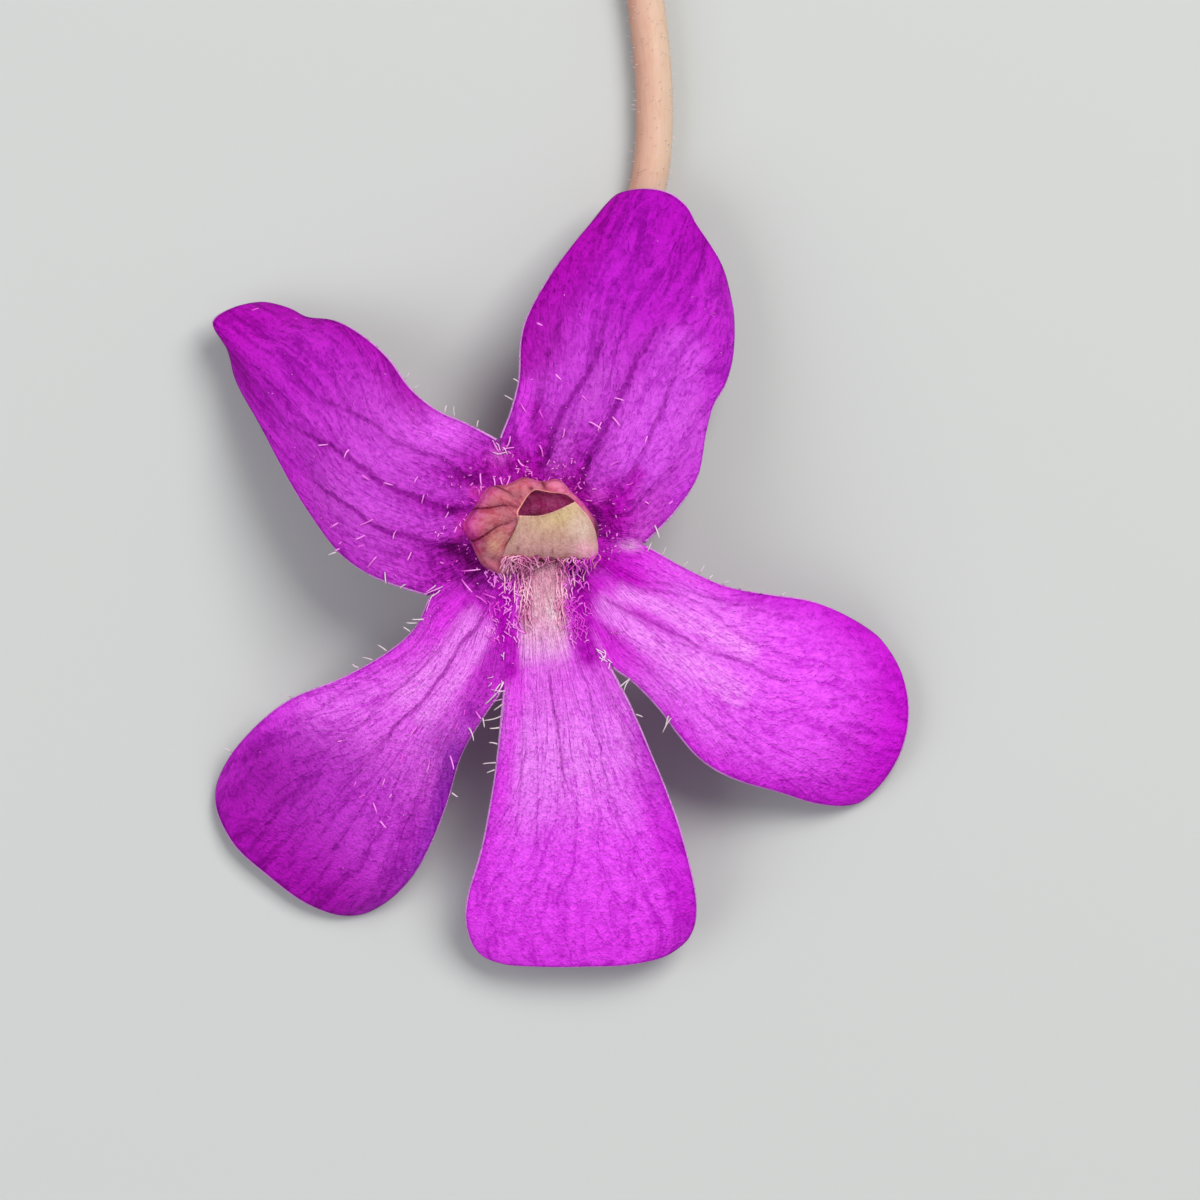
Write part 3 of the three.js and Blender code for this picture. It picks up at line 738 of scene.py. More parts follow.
# %% [markdown]
# ## Skin of the lobes
# A petal's skin is a velvet of tiny bumps over long veins. The shader node groups make the marks: long
# streaks, thin wandering lines, one drawn vein, and velvet. They read the UV that runs along each lobe, so
# the marks fan out from the throat and widen with the lobe. The Principled shader itself stays in the
# material.

# %% Node groups and their sockets


def new_group(name, inputs, outputs):
    group = bpy.data.node_groups.new(name, "ShaderNodeTree")
    for label, kind, value in inputs:
        socket = group.interface.new_socket(label, in_out="INPUT", socket_type=kind)
        if value is not None:
            socket.default_value = value
    for label, kind in outputs:
        group.interface.new_socket(label, in_out="OUTPUT", socket_type=kind)
    return group, group.nodes.new("NodeGroupInput").outputs, group.nodes.new("NodeGroupOutput").inputs


def feed(tree, socket, value):
    if isinstance(value, (int, float)):
        socket.default_value = value
    elif isinstance(value, (tuple, list)):
        socket.default_value = (*value, 1.0)
    else:
        tree.links.new(value, socket)


VECTOR, FLOAT = "NodeSocketVector", "NodeSocketFloat"
print("a group's sockets are", VECTOR, "or", FLOAT)

# %% Arithmetic on the nodes' values


def math_node(tree, operation, a, b=0.0):
    node = tree.nodes.new("ShaderNodeMath")
    node.operation = operation
    feed(tree, node.inputs[0], a)
    feed(tree, node.inputs[1], b)
    return node.outputs[0]


def times(tree, a, b):
    return math_node(tree, "MULTIPLY", a, b)


def plus(tree, a, b):
    return math_node(tree, "ADD", a, b)


def minus(tree, a, b):
    return math_node(tree, "SUBTRACT", a, b)


def map_range(tree, value, from_min, from_max, to_min, to_max):
    node = tree.nodes.new("ShaderNodeMapRange")
    node.interpolation_type = "SMOOTHSTEP"
    labels = ("Value", "From Min", "From Max", "To Min", "To Max")
    for label, given in zip(labels, (value, from_min, from_max, to_min, to_max)):
        feed(tree, node.inputs[label], given)
    return node.outputs["Result"]


print("values can be multiplied, added, subtracted and mapped to a range")

# %% Stretched coordinates and noise


def stretched(tree, vector, across, along):
    scale = tree.nodes.new("ShaderNodeCombineXYZ")
    feed(tree, scale.inputs["X"], across)
    feed(tree, scale.inputs["Y"], along)
    scale.inputs["Z"].default_value = 1.0
    product = tree.nodes.new("ShaderNodeVectorMath")
    product.operation = "MULTIPLY"
    tree.links.new(vector, product.inputs[0])
    tree.links.new(scale.outputs[0], product.inputs[1])
    return product.outputs[0]


def noise_node(tree, vector, scale, detail=2.0, roughness=0.5, distortion=0.0):
    node = tree.nodes.new("ShaderNodeTexNoise")
    node.inputs["Scale"].default_value = scale
    node.inputs["Detail"].default_value = detail
    node.inputs["Roughness"].default_value = roughness
    node.inputs["Distortion"].default_value = distortion
    tree.links.new(vector, node.inputs["Vector"])
    return node.outputs["Fac"]


print("noise can be drawn out along a lobe")

# %% Groups for streaks and wandering lines
streaks, given, result = new_group(
    "streaks", [("Vector", VECTOR, None), ("Across", FLOAT, 40.0), ("Along", FLOAT, 4.0)], [("Value", FLOAT)]
)
stretch = stretched(streaks, given["Vector"], given["Across"], given["Along"])
streaks.links.new(noise_node(streaks, stretch, 1.0, 3.0, 0.6, 0.9), result["Value"])

contour_lines, given, result = new_group(
    "contour_lines",
    [("Vector", VECTOR, None), ("Across", FLOAT, 8.0), ("Along", FLOAT, 2.0), ("Width", FLOAT, 0.015)],
    [("Mask", FLOAT)],
)
stretch = stretched(contour_lines, given["Vector"], given["Across"], given["Along"])
waves = noise_node(contour_lines, stretch, 1.0, 3.0, 0.4)
waves = math_node(contour_lines, "ABSOLUTE", minus(contour_lines, waves, 0.5))
contour_lines.links.new(map_range(contour_lines, waves, 0.0, given["Width"], 1.0, 0.0), result["Mask"])
print([group.name for group in bpy.data.node_groups])

# %% Group for one vein
one_vein, given, result = new_group(
    "one_vein",
    [
        ("Across", FLOAT, 0.0), ("Along", FLOAT, 0.0), ("Centre", FLOAT, 0.0), ("Width", FLOAT, 0.1),
        ("From", FLOAT, 0.0), ("To", FLOAT, 1.0), ("Strength", FLOAT, 1.0), ("Span", FLOAT, 2.0),
        ("Growth", FLOAT, 7.0),
    ],
    [("Mask", FLOAT)],
)
aside = math_node(one_vein, "ABSOLUTE", minus(one_vein, given["Across"], given["Centre"]))
span = plus(one_vein, times(one_vein, given["Along"], given["Growth"]), given["Span"])
aside = times(one_vein, aside, span)
core = map_range(one_vein, aside, times(one_vein, given["Width"], 0.2), given["Width"], 1.0, 0.0)
halo = map_range(one_vein, aside, 0.0, times(one_vein, given["Width"], 3.0), 0.2, 0.0)
mark = math_node(one_vein, "MAXIMUM", core, halo)
appear = map_range(one_vein, given["Along"], given["From"], plus(one_vein, given["From"], 0.04), 0.0, 1.0)
fade = map_range(one_vein, given["Along"], minus(one_vein, given["To"], 0.3), given["To"], 1.0, 0.0)
mark = times(one_vein, times(one_vein, mark, appear), fade)
one_vein.links.new(times(one_vein, mark, given["Strength"]), result["Mask"])
print(one_vein.name, len(one_vein.nodes), "nodes")

# %% Group for velvet
velvet, given, result = new_group(
    "velvet", [("Vector", VECTOR, None), ("Fineness", FLOAT, 9000.0)], [("Height", FLOAT)]
)
grain = velvet.nodes.new("ShaderNodeTexVoronoi")
grain.inputs["Randomness"].default_value = 1.0
velvet.links.new(given["Vector"], grain.inputs["Vector"])
velvet.links.new(given["Fineness"], grain.inputs["Scale"])
velvet.links.new(minus(velvet, 1.0, grain.outputs["Distance"]), result["Height"])
print(velvet.name, len(velvet.nodes), "nodes")

# %% New material with what it reads


def new_material(name):
    material = bpy.data.materials.new(name)
    material.use_nodes = True
    tree = material.node_tree
    sources = {
        "uv": tree.nodes.new("ShaderNodeUVMap"),
        "spot": tree.nodes.new("ShaderNodeTexCoord"),
        "tint": tree.nodes.new("ShaderNodeAttribute"),
        "margin": tree.nodes.new("ShaderNodeAttribute"),
    }
    sources["uv"].uv_map = "along"
    sources["tint"].attribute_name = "tint"
    sources["margin"].attribute_name = "margin"
    outputs = {
        "uv": sources["uv"].outputs["UV"],
        "spot": sources["spot"].outputs["Object"],
        "tint": sources["tint"].outputs["Color"],
        "margin": sources["margin"].outputs["Fac"],
    }
    return material, tree, tree.nodes["Principled BSDF"].inputs, outputs


def use_group(tree, group, **values):
    node = tree.nodes.new("ShaderNodeGroup")
    node.node_tree = group
    for label, value in values.items():
        feed(tree, node.inputs[label], value)
    return node.outputs[0]


print("a new material reads the UV, the place, the tint and the margin")

# %% Mixed colours, stains, relief and finish


def mix_colour(tree, mode, factor, a, b):
    node = tree.nodes.new("ShaderNodeMix")
    node.data_type = "RGBA"
    node.blend_type = mode
    sockets = {socket.identifier: socket for socket in node.inputs}
    for identifier, value in (("Factor_Float", factor), ("A_Color", a), ("B_Color", b)):
        feed(tree, sockets[identifier], value)
    return next(socket for socket in node.outputs if socket.identifier == "Result_Color")


def stain(tree, colour, tone, mark, low, high, most):
    return mix_colour(tree, "MULTIPLY", map_range(tree, mark, low, high, 0.0, most), colour, tone)


def bump(tree, height, distance, normal=None):
    node = tree.nodes.new("ShaderNodeBump")
    node.inputs["Strength"].default_value = 1.0
    node.inputs["Distance"].default_value = distance
    tree.links.new(height, node.inputs["Height"])
    if normal is not None:
        tree.links.new(normal, node.inputs["Normal"])
    return node.outputs["Normal"]


def dress(tree, shader, colour, normal, roughness, specular=0.5):
    tree.links.new(colour, shader["Base Color"])
    tree.links.new(normal, shader["Normal"])
    tree.links.new(roughness, shader["Roughness"])
    shader["Specular IOR Level"].default_value = specular


print("a stain darkens a colour where its mark says so")

# %% [markdown]
# ## Main veins
# The main veins wander from the throat towards the tip and branch seldom, so each is drawn as one line on
# the plan. A Float Curve node holds the line as the vein's place across the lobe for each place along it.

# %% Veins as lines on the plan, with their strength
VEINS = {
    "upper_right": [
        (0.9, [
            (2.1, 1.7), (2.24, 2.4), (2.45, 2.9), (2.8, 3.5), (2.97, 3.9), (3.4, 4.6), (3.6, 5.2),
            (3.96, 5.85), (4.2, 6.5), (4.6, 7.3), (5.2, 8.3), (5.8, 9.4),
        ]),
        (0.9, [
            (0.3, 2.3), (0.69, 3.05), (0.86, 3.7), (0.99, 4.2), (1.29, 4.8), (1.68, 5.4), (2.1, 6.06),
            (2.45, 6.6), (2.8, 7.5), (3.1, 8.8), (3.5, 10.1),
        ]),
        (0.6, [
            (2.9, 0.8), (3.3, 1.1), (3.74, 1.68), (4.2, 2.2), (4.6, 2.8), (5.1, 4.0), (5.7, 5.4), (6.1, 6.7),
            (6.8, 8.4),
        ]),
        (0.45, [(-0.2, 2.8), (0.0, 4.1), (0.3, 5.4), (0.6, 6.7), (1.0, 8.2), (1.6, 9.7), (2.2, 11.2)]),
        (0.4, [(3.4, 0.3), (4.6, 1.1), (5.7, 2.0), (6.5, 3.1), (7.2, 4.6)]),
    ],
    "upper_left": [
        (0.9, [
            (-2.7, 0.69), (-3.35, 0.6), (-4.0, 0.77), (-4.5, 0.99), (-4.86, 1.16), (-5.5, 1.38),
            (-6.15, 1.63), (-6.67, 1.98), (-7.2, 2.4), (-7.9, 2.9), (-8.7, 3.4), (-9.8, 3.9), (-10.9, 4.6),
        ]),
        (0.9, [
            (-3.2, -0.9), (-4.0, -0.82), (-4.64, -0.69), (-5.5, -0.47), (-6.15, -0.26), (-6.8, 0.04),
            (-7.4, 0.5), (-8.1, 1.0), (-8.9, 1.5), (-10.0, 2.4),
        ]),
        (0.6, [
            (-2.6, 1.9), (-3.35, 2.5), (-4.0, 2.88), (-4.64, 3.05), (-5.2, 3.27), (-5.9, 3.57), (-6.6, 4.2),
            (-7.9, 4.9), (-9.2, 5.5), (-10.4, 6.7),
        ]),
        (0.3, [(-4.0, -1.5), (-5.7, -1.3), (-7.0, -0.8), (-8.1, -0.1), (-9.2, 0.9)]),
        (0.35, [(-2.4, 2.6), (-3.8, 3.4), (-4.9, 4.3), (-5.9, 5.6), (-7.0, 6.7), (-8.5, 7.8)]),
    ],
    "lower_left": [
        (0.8, [
            (-1.9, -3.5), (-2.4, -4.4), (-3.05, -5.1), (-3.4, -5.7), (-3.7, -6.2), (-4.0, -6.6),
            (-4.6, -7.4), (-5.2, -8.0), (-5.8, -8.5), (-6.4, -9.3), (-7.1, -10.1), (-7.9, -11.1),
        ]),
        (0.45, [
            (-2.9, -3.8), (-3.6, -4.9), (-4.4, -5.8), (-5.3, -6.6), (-6.4, -7.6), (-7.4, -8.6), (-8.7, -9.4),
            (-10.0, -10.5),
        ]),
        (0.45, [
            (-3.6, -3.2), (-4.4, -4.3), (-5.2, -5.3), (-6.4, -6.1), (-7.9, -7.0), (-9.4, -8.0),
            (-10.9, -9.2),
        ]),
        (0.35, [
            (-1.6, -4.9), (-2.4, -6.2), (-2.9, -7.5), (-3.5, -8.8), (-4.1, -10.1), (-4.9, -11.6),
            (-5.7, -13.3),
        ]),
    ],
    "middle": [
        (0.2, [(0.4, -2.3), (0.43, -3.6), (0.52, -4.5), (0.62, -5.4), (0.75, -6.6), (0.9, -7.6)]),
        (0.75, [
            (0.75, -6.6), (0.95, -8.0), (1.11, -8.8), (1.18, -9.4), (1.27, -10.2), (1.32, -10.9),
            (1.41, -11.6), (1.63, -12.2), (1.8, -13.0),
        ]),
        (0.5, [
            (1.4, -3.2), (1.7, -5.3), (2.3, -6.7), (2.56, -7.9), (2.67, -8.6), (2.84, -9.2), (2.99, -10.1),
            (3.1, -10.7), (3.3, -11.3), (3.7, -12.6), (4.2, -14.4),
        ]),
        (0.35, [(-0.3, -3.2), (-0.4, -5.3), (-0.4, -8.8), (-0.5, -10.9), (-0.7, -13.1), (-1.1, -15.2)]),
        (0.35, [(2.2, -4.0), (3.1, -6.6), (4.0, -8.8), (4.8, -11.4), (5.5, -13.9)]),
        (0.3, [(0.1, -7.1), (0.2, -9.6), (0.2, -12.2), (0.1, -14.8)]),
    ],
    "lower_right": [
        (0.65, [
            (2.9, -3.0), (3.4, -3.35), (3.96, -3.66), (4.6, -3.91), (5.25, -4.24), (5.89, -4.54),
            (6.45, -4.77), (6.97, -5.12), (7.61, -5.42), (8.47, -5.68), (9.12, -5.89), (9.76, -6.24),
            (11.05, -6.84), (12.5, -8.0),
        ]),
        (0.45, [
            (3.7, -2.3), (5.5, -2.8), (6.8, -3.2), (7.6, -3.7), (8.3, -4.3), (9.2, -4.9), (10.4, -5.4),
            (11.7, -6.0), (13.2, -6.6),
        ]),
        (0.35, [
            (3.3, -1.7), (4.4, -2.3), (5.7, -2.5), (7.2, -3.0), (8.7, -3.4), (10.4, -3.8), (12.1, -4.4),
            (13.6, -5.1),
        ]),
        (0.4, [(2.7, -4.3), (3.7, -5.1), (5.0, -6.1), (6.3, -7.3), (7.6, -8.3), (9.1, -9.4), (10.6, -10.3)]),
    ],
}
print(sum(len(lines) for lines in VEINS.values()), "veins")

# %% Node that draws one vein along its line


def drawn_vein(tree, across, along, shift, places, **look):
    places = sorted((v, u) for u, v in places)
    curve = tree.nodes.new("ShaderNodeFloatCurve")
    points = curve.mapping.curves[0].points
    while len(points) < len(places):
        points.new(0.5, 0.5)
    for point, (v, u) in zip(points, places):
        point.location = (v, u)
    curve.mapping.update()
    tree.links.new(along, curve.inputs["Value"])
    centre = plus(tree, curve.outputs["Value"], float(shift))
    span = dict(From=places[0][0] - 0.02, To=places[-1][0] + 0.05)
    return use_group(tree, one_vein, Across=across, Along=along, Centre=centre, **{**span, **look})


print("a vein's curve holds its place across the lobe for each place along it")

# %% Petal skin: main veins
petal_skin, tree, shader, source = new_material("petal_skin")
parts = tree.nodes.new("ShaderNodeSeparateXYZ")
tree.links.new(source["uv"], parts.inputs[0])
across, along = parts.outputs["X"], parts.outputs["Y"]
sway = noise_node(tree, stretched(tree, source["uv"], 9.0, 22.0), 1.0, 2.0, 0.6)
sway = times(tree, minus(tree, sway, 0.5), 0.035)
swayed = plus(tree, across, sway)
main_veins = 0.0
for lobe, name in enumerate(LOBE_NAMES):
    for strength, line in VEINS[name]:
        places = [locate(x, y, lobe)[1:3] for x, y in line]
        places = [(fanned(u, v), v) for u, v in places]
        width = 0.04 + 0.065 * strength - (0.03 if name == "middle" else 0.0)
        vein = drawn_vein(tree, swayed, along, lobe, places, Width=width, Strength=strength)
        main_veins = math_node(tree, "MAXIMUM", vein, main_veins)
print(petal_skin.name, len(tree.nodes), "nodes with the veins")

# %% Petal skin: where it is dark, near the tip or near the throat
tint_parts = tree.nodes.new("ShaderNodeSeparateColor")
tree.links.new(source["tint"], tint_parts.inputs[0])
dark_skin = map_range(tree, tint_parts.outputs["Red"], 0.36, 0.7, 1.0, 0.0)
tipwards = map_range(tree, along, 0.25, 0.9, 0.3, 1.5)
tipwards = times(tree, tipwards, map_range(tree, dark_skin, 0.0, 1.0, 0.4, 1.0))
throatwards = map_range(tree, along, 0.12, 0.3, 1.0, 0.0)
pale = minus(tree, tint_parts.outputs["Red"], tint_parts.outputs["Blue"])
pale = map_range(tree, pale, 0.04, 0.2, 0.0, 1.0)
print("pale skin is told by red above blue")

# %% Petal skin: streaks, lumps and wrinkles
dashes = use_group(tree, streaks, Vector=source["uv"], Across=22.0, Along=34.0)
main_veins = times(tree, main_veins, map_range(tree, dashes, 0.28, 0.52, 0.5, 1.0))
fibres = use_group(tree, streaks, Vector=source["uv"], Across=62.0, Along=36.0)
flames = use_group(tree, streaks, Vector=source["uv"], Across=28.0, Along=4.5)
broad = use_group(tree, streaks, Vector=source["uv"], Across=5.0, Along=2.0)
lumps = noise_node(tree, source["spot"], 4200.0, 3.0, 0.6)
nap = use_group(tree, velvet, Vector=source["spot"], Fineness=9000.0)
fine_veins = use_group(tree, contour_lines, Vector=source["uv"], Across=7.0, Along=1.3, Width=0.014)


def varied(value, weight):
    return times(tree, minus(tree, value, 0.5), weight)


clouds = varied(fibres, 0.8)
for value, weight in ((flames, tipwards), (broad, 0.3), (lumps, 0.45)):
    clouds = plus(tree, clouds, varied(value, weight))
clouds = minus(tree, clouds, times(tree, fine_veins, 0.14))
wrinkles = use_group(tree, contour_lines, Vector=source["uv"], Across=24.0, Along=9.0, Width=0.03)
clouds = minus(tree, clouds, times(tree, wrinkles, 0.11))
print(petal_skin.name, len(tree.nodes), "nodes with the streaks")

# %% Petal skin: colour
# The streaks and wrinkles mix a darker and a lighter copy of the tint: partly the petal's own dark streaks,
# partly painted shade in the wrinkles and painted highlight on the ridges between them.
shadow = mix_colour(tree, "MIX", pale, (0.66, 0.26, 0.68), (0.86, 0.66, 0.76))
shadow = mix_colour(tree, "MULTIPLY", 1.0, source["tint"], shadow)
shine = mix_colour(tree, "SCREEN", 1.0, source["tint"], (0.1, 0.002, 0.11))
colour = mix_colour(tree, "MIX", map_range(tree, clouds, -0.34, 0.21, 0.0, 1.0), shadow, shine)

papillae = noise_node(tree, stretched(tree, source["spot"], 8000.0, 2600.0), 1.0, 2.0, 0.6)
papillae = times(tree, map_range(tree, papillae, 0.38, 0.54, 0.7, 0.0), pale)
colour = mix_colour(tree, "MULTIPLY", papillae, colour, (0.76, 0.52, 0.64))
flecks = map_range(tree, noise_node(tree, source["spot"], 4200.0, 2.0, 0.6), 0.42, 0.56, 0.65, 0.0)
flecks = times(tree, times(tree, flecks, throatwards), dark_skin)
colour = mix_colour(tree, "MULTIPLY", flecks, colour, (0.5, 0.12, 0.5))
vein_strength = times(tree, main_veins, map_range(tree, pale, 0.0, 1.0, 1.0, 0.35))
colour = mix_colour(tree, "MULTIPLY", vein_strength, colour, (0.5, 0.13, 0.5))
print(petal_skin.name, len(tree.nodes), "nodes with the colour")

# %% Petal skin: pale hem and relief
# The pale hem is painted light shining through the thin margin, and just inside it the colour is made
# darker.
HEM_LIGHT_TONE = linear((224, 156, 226))

hem_shade = map_range(tree, source["margin"], 0.1, 0.32, 0.6, 0.0)
colour = mix_colour(tree, "MULTIPLY", hem_shade, colour, (0.62, 0.35, 0.66))
hem = map_range(tree, source["margin"], 0.06, 0.11, 0.85, 0.0)
colour = mix_colour(tree, "MIX", hem, colour, tuple(HEM_LIGHT_TONE))
relief = minus(tree, clouds, times(tree, main_veins, 0.6))
relief = minus(tree, relief, times(tree, papillae, 0.25))
normal = bump(tree, relief, 0.12 * MM)
normal = bump(tree, plus(tree, nap, lumps), 0.035 * MM, normal)
dress(tree, shader, colour, normal, map_range(tree, fibres, 0.3, 0.7, 0.5, 0.68), 0.03)
print(petal_skin.name, len(tree.nodes), "nodes")

# %% Limb piece
limb = finish_piece("limb", limb_bm, petal_skin)
thicken(limb, 0.3, rim_crease=0.9)
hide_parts("corolla")

# %% [markdown]
# ## Hood and throat
# The hood is a blown-up fold of the same skin as the limb, salmon where it is thick with sap, and it turns
# down into the throat at its free edge. A grid is rolled round the throat: outside, each column follows a
# curve from the foot over the crest to the lip, and inside, another one down the throat. Grooves mark its
# red veins and one fold, and the fold is darkened with painted shade.

# %% Throat sections and grooves of the hood
THROAT = [  # x, y, half width, half height, z of the sections below the lip
    (0.5, -0.1, 1.62, 1.2, 6.25), (0.4, -0.4, 1.5, 0.95, 5.9), (0.2, -0.55, 1.35, 0.85, 5.2),
    (0.1, -0.2, 1.35, 1.1, 4.3), (0.05, 0.1, 1.3, 1.25, 3.7), (0.0, 0.2, 1.0, 0.95, 2.95),
]
HOOD_SHARE = 0.62  # share of the grid's rows that lie outside, up to the lip
SKIRT_Z = 5.72  # the hood's lower edge hides inside the limb
HOOD_VEINS = [
    [(-2.75, 0.62), (-2.45, 0.69), (-1.85, 0.73), (-1.2, 0.82), (-0.65, 0.77)],
    [
        (-2.6, -0.66), (-2.28, -0.6), (-2.06, -0.47), (-1.76, -0.26), (-1.42, -0.04), (-0.99, 0.09),
        (-0.66, 0.28),
    ],
    [(-1.6, 1.66), (-1.3, 1.55), (-0.99, 1.38), (-0.73, 1.12)],
    [(0.42, 1.8), (0.52, 1.6), (0.62, 1.44)],
]
# the fold at the edge of the cream bulge is grooved and darkened with painted shade
HOOD_FOLD = [(-2.05, -0.45), (-2.16, -0.8), (-2.08, -1.2), (-1.8, -1.45), (-1.4, -1.55)]
hood_lines = [traced(line, 40) for line in [*HOOD_VEINS, HOOD_FOLD]]


def hood_vein(x, y, width):
    reach = min(np.min(np.hypot(line[:, 0] - x, line[:, 1] - y)) for line in hood_lines)
    return math.exp(-((reach / width) ** 2))


print(len(hood_lines), "grooves")

# %% Hood surface


def hood_column(bearing):
    foot, crest, lip = hood_foot(bearing), hood_crest(bearing), hood_lip(bearing)
    outward = np.array([foot[0], foot[1], 0]) / np.hypot(foot[0], foot[1])
    skirt = foot + outward * 0.1
    skirt[2] = SKIRT_Z
    shoulder = foot + (crest - foot) * (0.24, 0.24, 0.7)
    turn = math.radians(bearing)
    deep = [(x + a * math.cos(turn), y + b * math.sin(turn), z) for x, y, a, b, z in THROAT]
    under = lip + np.array([math.cos(turn) * 0.1, math.sin(turn) * 0.1, -0.3 - 0.1 * math.sin(turn)])
    return through([skirt, foot, shoulder, crest, lip]), through([lip, under, *deep])


hood_columns = {}


def hood_point(u, v):
    if u not in hood_columns:
        hood_columns[u] = hood_column(360 * (u % 1.0))
    outer, inner = hood_columns[u]
    if v > HOOD_SHARE:
        return Vector(inner((v - HOOD_SHARE) / (1 - HOOD_SHARE)))
    x, y, z = outer(v / HOOD_SHARE)
    crest_share = smooth(v, 0.1, 0.3) * smooth(HOOD_SHARE - v, 0, 0.12)
    groove = 0.16 * hood_vein(x, y, 0.2) * crest_share
    swell = 0.05 * noise.noise(Vector((x, y, 3.0)) * 1.6) * crest_share
    return Vector((x, y, z - groove + swell))


print("top of the hood", hood_point(0.47, 0.45))

# %% Spots on the hood
HOOD_TONE = linear((176, 86, 104))
HOOD_SPOTS = in_light([
    (-2.9, -0.05, 0.45, 0.65, 0.9, (222, 58, 164)),
    (-2.2, 0.0, 0.3, 0.35, 0.5, (204, 98, 126)),
    (-2.3, 1.2, 0.35, 0.3, 0.85, (244, 82, 184)),
    (-2.4, 0.85, 0.4, 0.25, 0.6, (180, 54, 120)),
    (-2.72, 0.62, 0.25, 0.12, 0.7, (140, 12, 100)),
    (-2.74, -0.82, 0.2, 0.28, 0.9, (140, 8, 84)),
    (-2.36, -1.05, 0.24, 0.25, 0.85, (200, 52, 116)),
    (-1.85, 1.45, 0.55, 0.28, 0.85, (208, 86, 148)),
    (-1.3, 1.2, 0.4, 0.25, 0.5, (184, 88, 100)),
    (-0.7, 1.7, 0.5, 0.28, 0.8, (208, 106, 124)),
    (0.1, 1.85, 0.35, 0.2, 0.8, (212, 104, 148)),
    (0.85, 1.75, 0.4, 0.3, 0.8, (212, 100, 144)),
    (1.35, 1.6, 0.3, 0.25, 0.8, (224, 116, 164)),
    (0.5, 1.68, 0.1, 0.2, 0.8, (150, 40, 62)),
    (-1.6, -0.9, 0.34, 0.42, 0.95, (192, 142, 116)),
    (-1.25, -0.45, 0.3, 0.3, 0.6, (182, 122, 106)),
    (-1.72, -1.42, 0.42, 0.24, 0.9, (152, 78, 84)),
    (-1.9, -1.75, 0.45, 0.25, 0.85, (176, 74, 112)),
    (-1.4, 0.2, 0.35, 0.22, 0.6, (200, 116, 124)),
    (-1.2, 0.6, 0.3, 0.2, 0.6, (156, 72, 88)),
    (-1.9, 0.7, 0.4, 0.3, 0.5, (196, 84, 112)),
    (-1.45, -0.3, 0.3, 0.3, 0.45, (150, 80, 76)),
    (-2.11, -0.72, 0.25, 0.25, 0.6, (146, 40, 80)),
    (-0.56, 1.33, 0.2, 0.2, 0.5, (146, 54, 76)),
    (2.0, 1.0, 0.6, 0.6, 0.85, (214, 86, 164)),
    (2.5, 0.3, 0.25, 0.35, 0.7, (206, 96, 150)),
    # painted shadow on the hood's right foot, outside the flap
    (2.78, 0.05, 0.22, 0.75, 0.95, (92, 2, 78)),
    (0.6, -1.35, 1.7, 0.3, 0.95, (212, 150, 160)),
    (-0.75, -1.85, 0.45, 0.3, 0.85, (240, 146, 196)),
])
print(len(HOOD_SPOTS), "spots on the hood")

# %% Tone at any place of the hood
RING_TONE = linear((182, 34, 142))
# The lip's tone is painted light on the hood's free edge.
LIP_LIGHT_TONE = linear((246, 164, 148))
CAVITY_TONE = linear((164, 30, 106))
CAVITY_DEEP = linear((190, 56, 136))
HOOD_VEIN_AND_FOLD_TONE = linear((104, 14, 62))
CRIMP = (-0.03, 1.55, 0.12, 0.06)  # a short dark crimp in the hood's edge, painted shade in its fold
CRIMP_SHADE_TONE = linear((90, 12, 50))


def hood_tone(u, v, p):
    outer_left = smooth(-p.x, 1.3, 2.2) * smooth(p.y, -1.2, -0.6)
    ragged = (0.05 + 0.1 * outer_left) * noise.noise(Vector((p.x, p.y, 0)) * 6)
    ring = 1 - smooth(v + ragged - 0.08 * outer_left, 0.08, 0.2 + 0.08 * outer_left)
    tone = blend(HOOD_TONE, RING_TONE, 0.9 * ring * (0.25 + 0.75 * outer_left))
    tone = spotted(tone, HOOD_SPOTS, p.x, p.y)
    # dark red along the hood's veins, and painted shade along the fold at the cream bulge's edge
    tone = blend(tone, HOOD_VEIN_AND_FOLD_TONE, 0.45 * hood_vein(p.x, p.y, 0.09))
    tone = blend(tone, CRIMP_SHADE_TONE, 0.9 * bell(p.x, p.y, *CRIMP))
    if v > HOOD_SHARE:
        cavity = blend(CAVITY_TONE, CAVITY_DEEP, smooth(v, 0.68, 0.76))
        tone = blend(tone, cavity, smooth(v, HOOD_SHARE, HOOD_SHARE + 0.03))
    return tone


hood_bm = bmesh.new()
hood_grid = np.array(moved_grid(hood_bm, 144, 44, hood_point, hood_tone))
hood_grid = hood_grid[hood_grid[:, V] < HOOD_SHARE - 0.02]
weld(hood_bm)
face_out(hood_bm, upwards=True)
print("hood", len(hood_bm.faces), "faces")

# %% [markdown]
# ## Skin of the hood
# The hood is mottled and finely folded, and a few dark creases run over it to the free edge. They are drawn
# like the lobes' veins, with a span that shrinks from the foot to the lip as the hood's girth does, so they
# keep their width. The mottle mixes a darker and a lighter copy of the tint: partly the hood's own mottling,
# partly painted shade and painted highlight on its fine folds. The free edge gets a thin pale line of
# painted light, where light shines through it.

# %% Hood skin
hood_skin, tree, shader, source = new_material("hood_skin")
nap = use_group(tree, velvet, Vector=source["spot"], Fineness=11000.0)
folds = use_group(tree, streaks, Vector=source["uv"], Across=40.0, Along=6.0)
mottle = noise_node(tree, source["spot"], 3400.0, 3.0, 0.65)
clouds = plus(tree, folds, mottle)
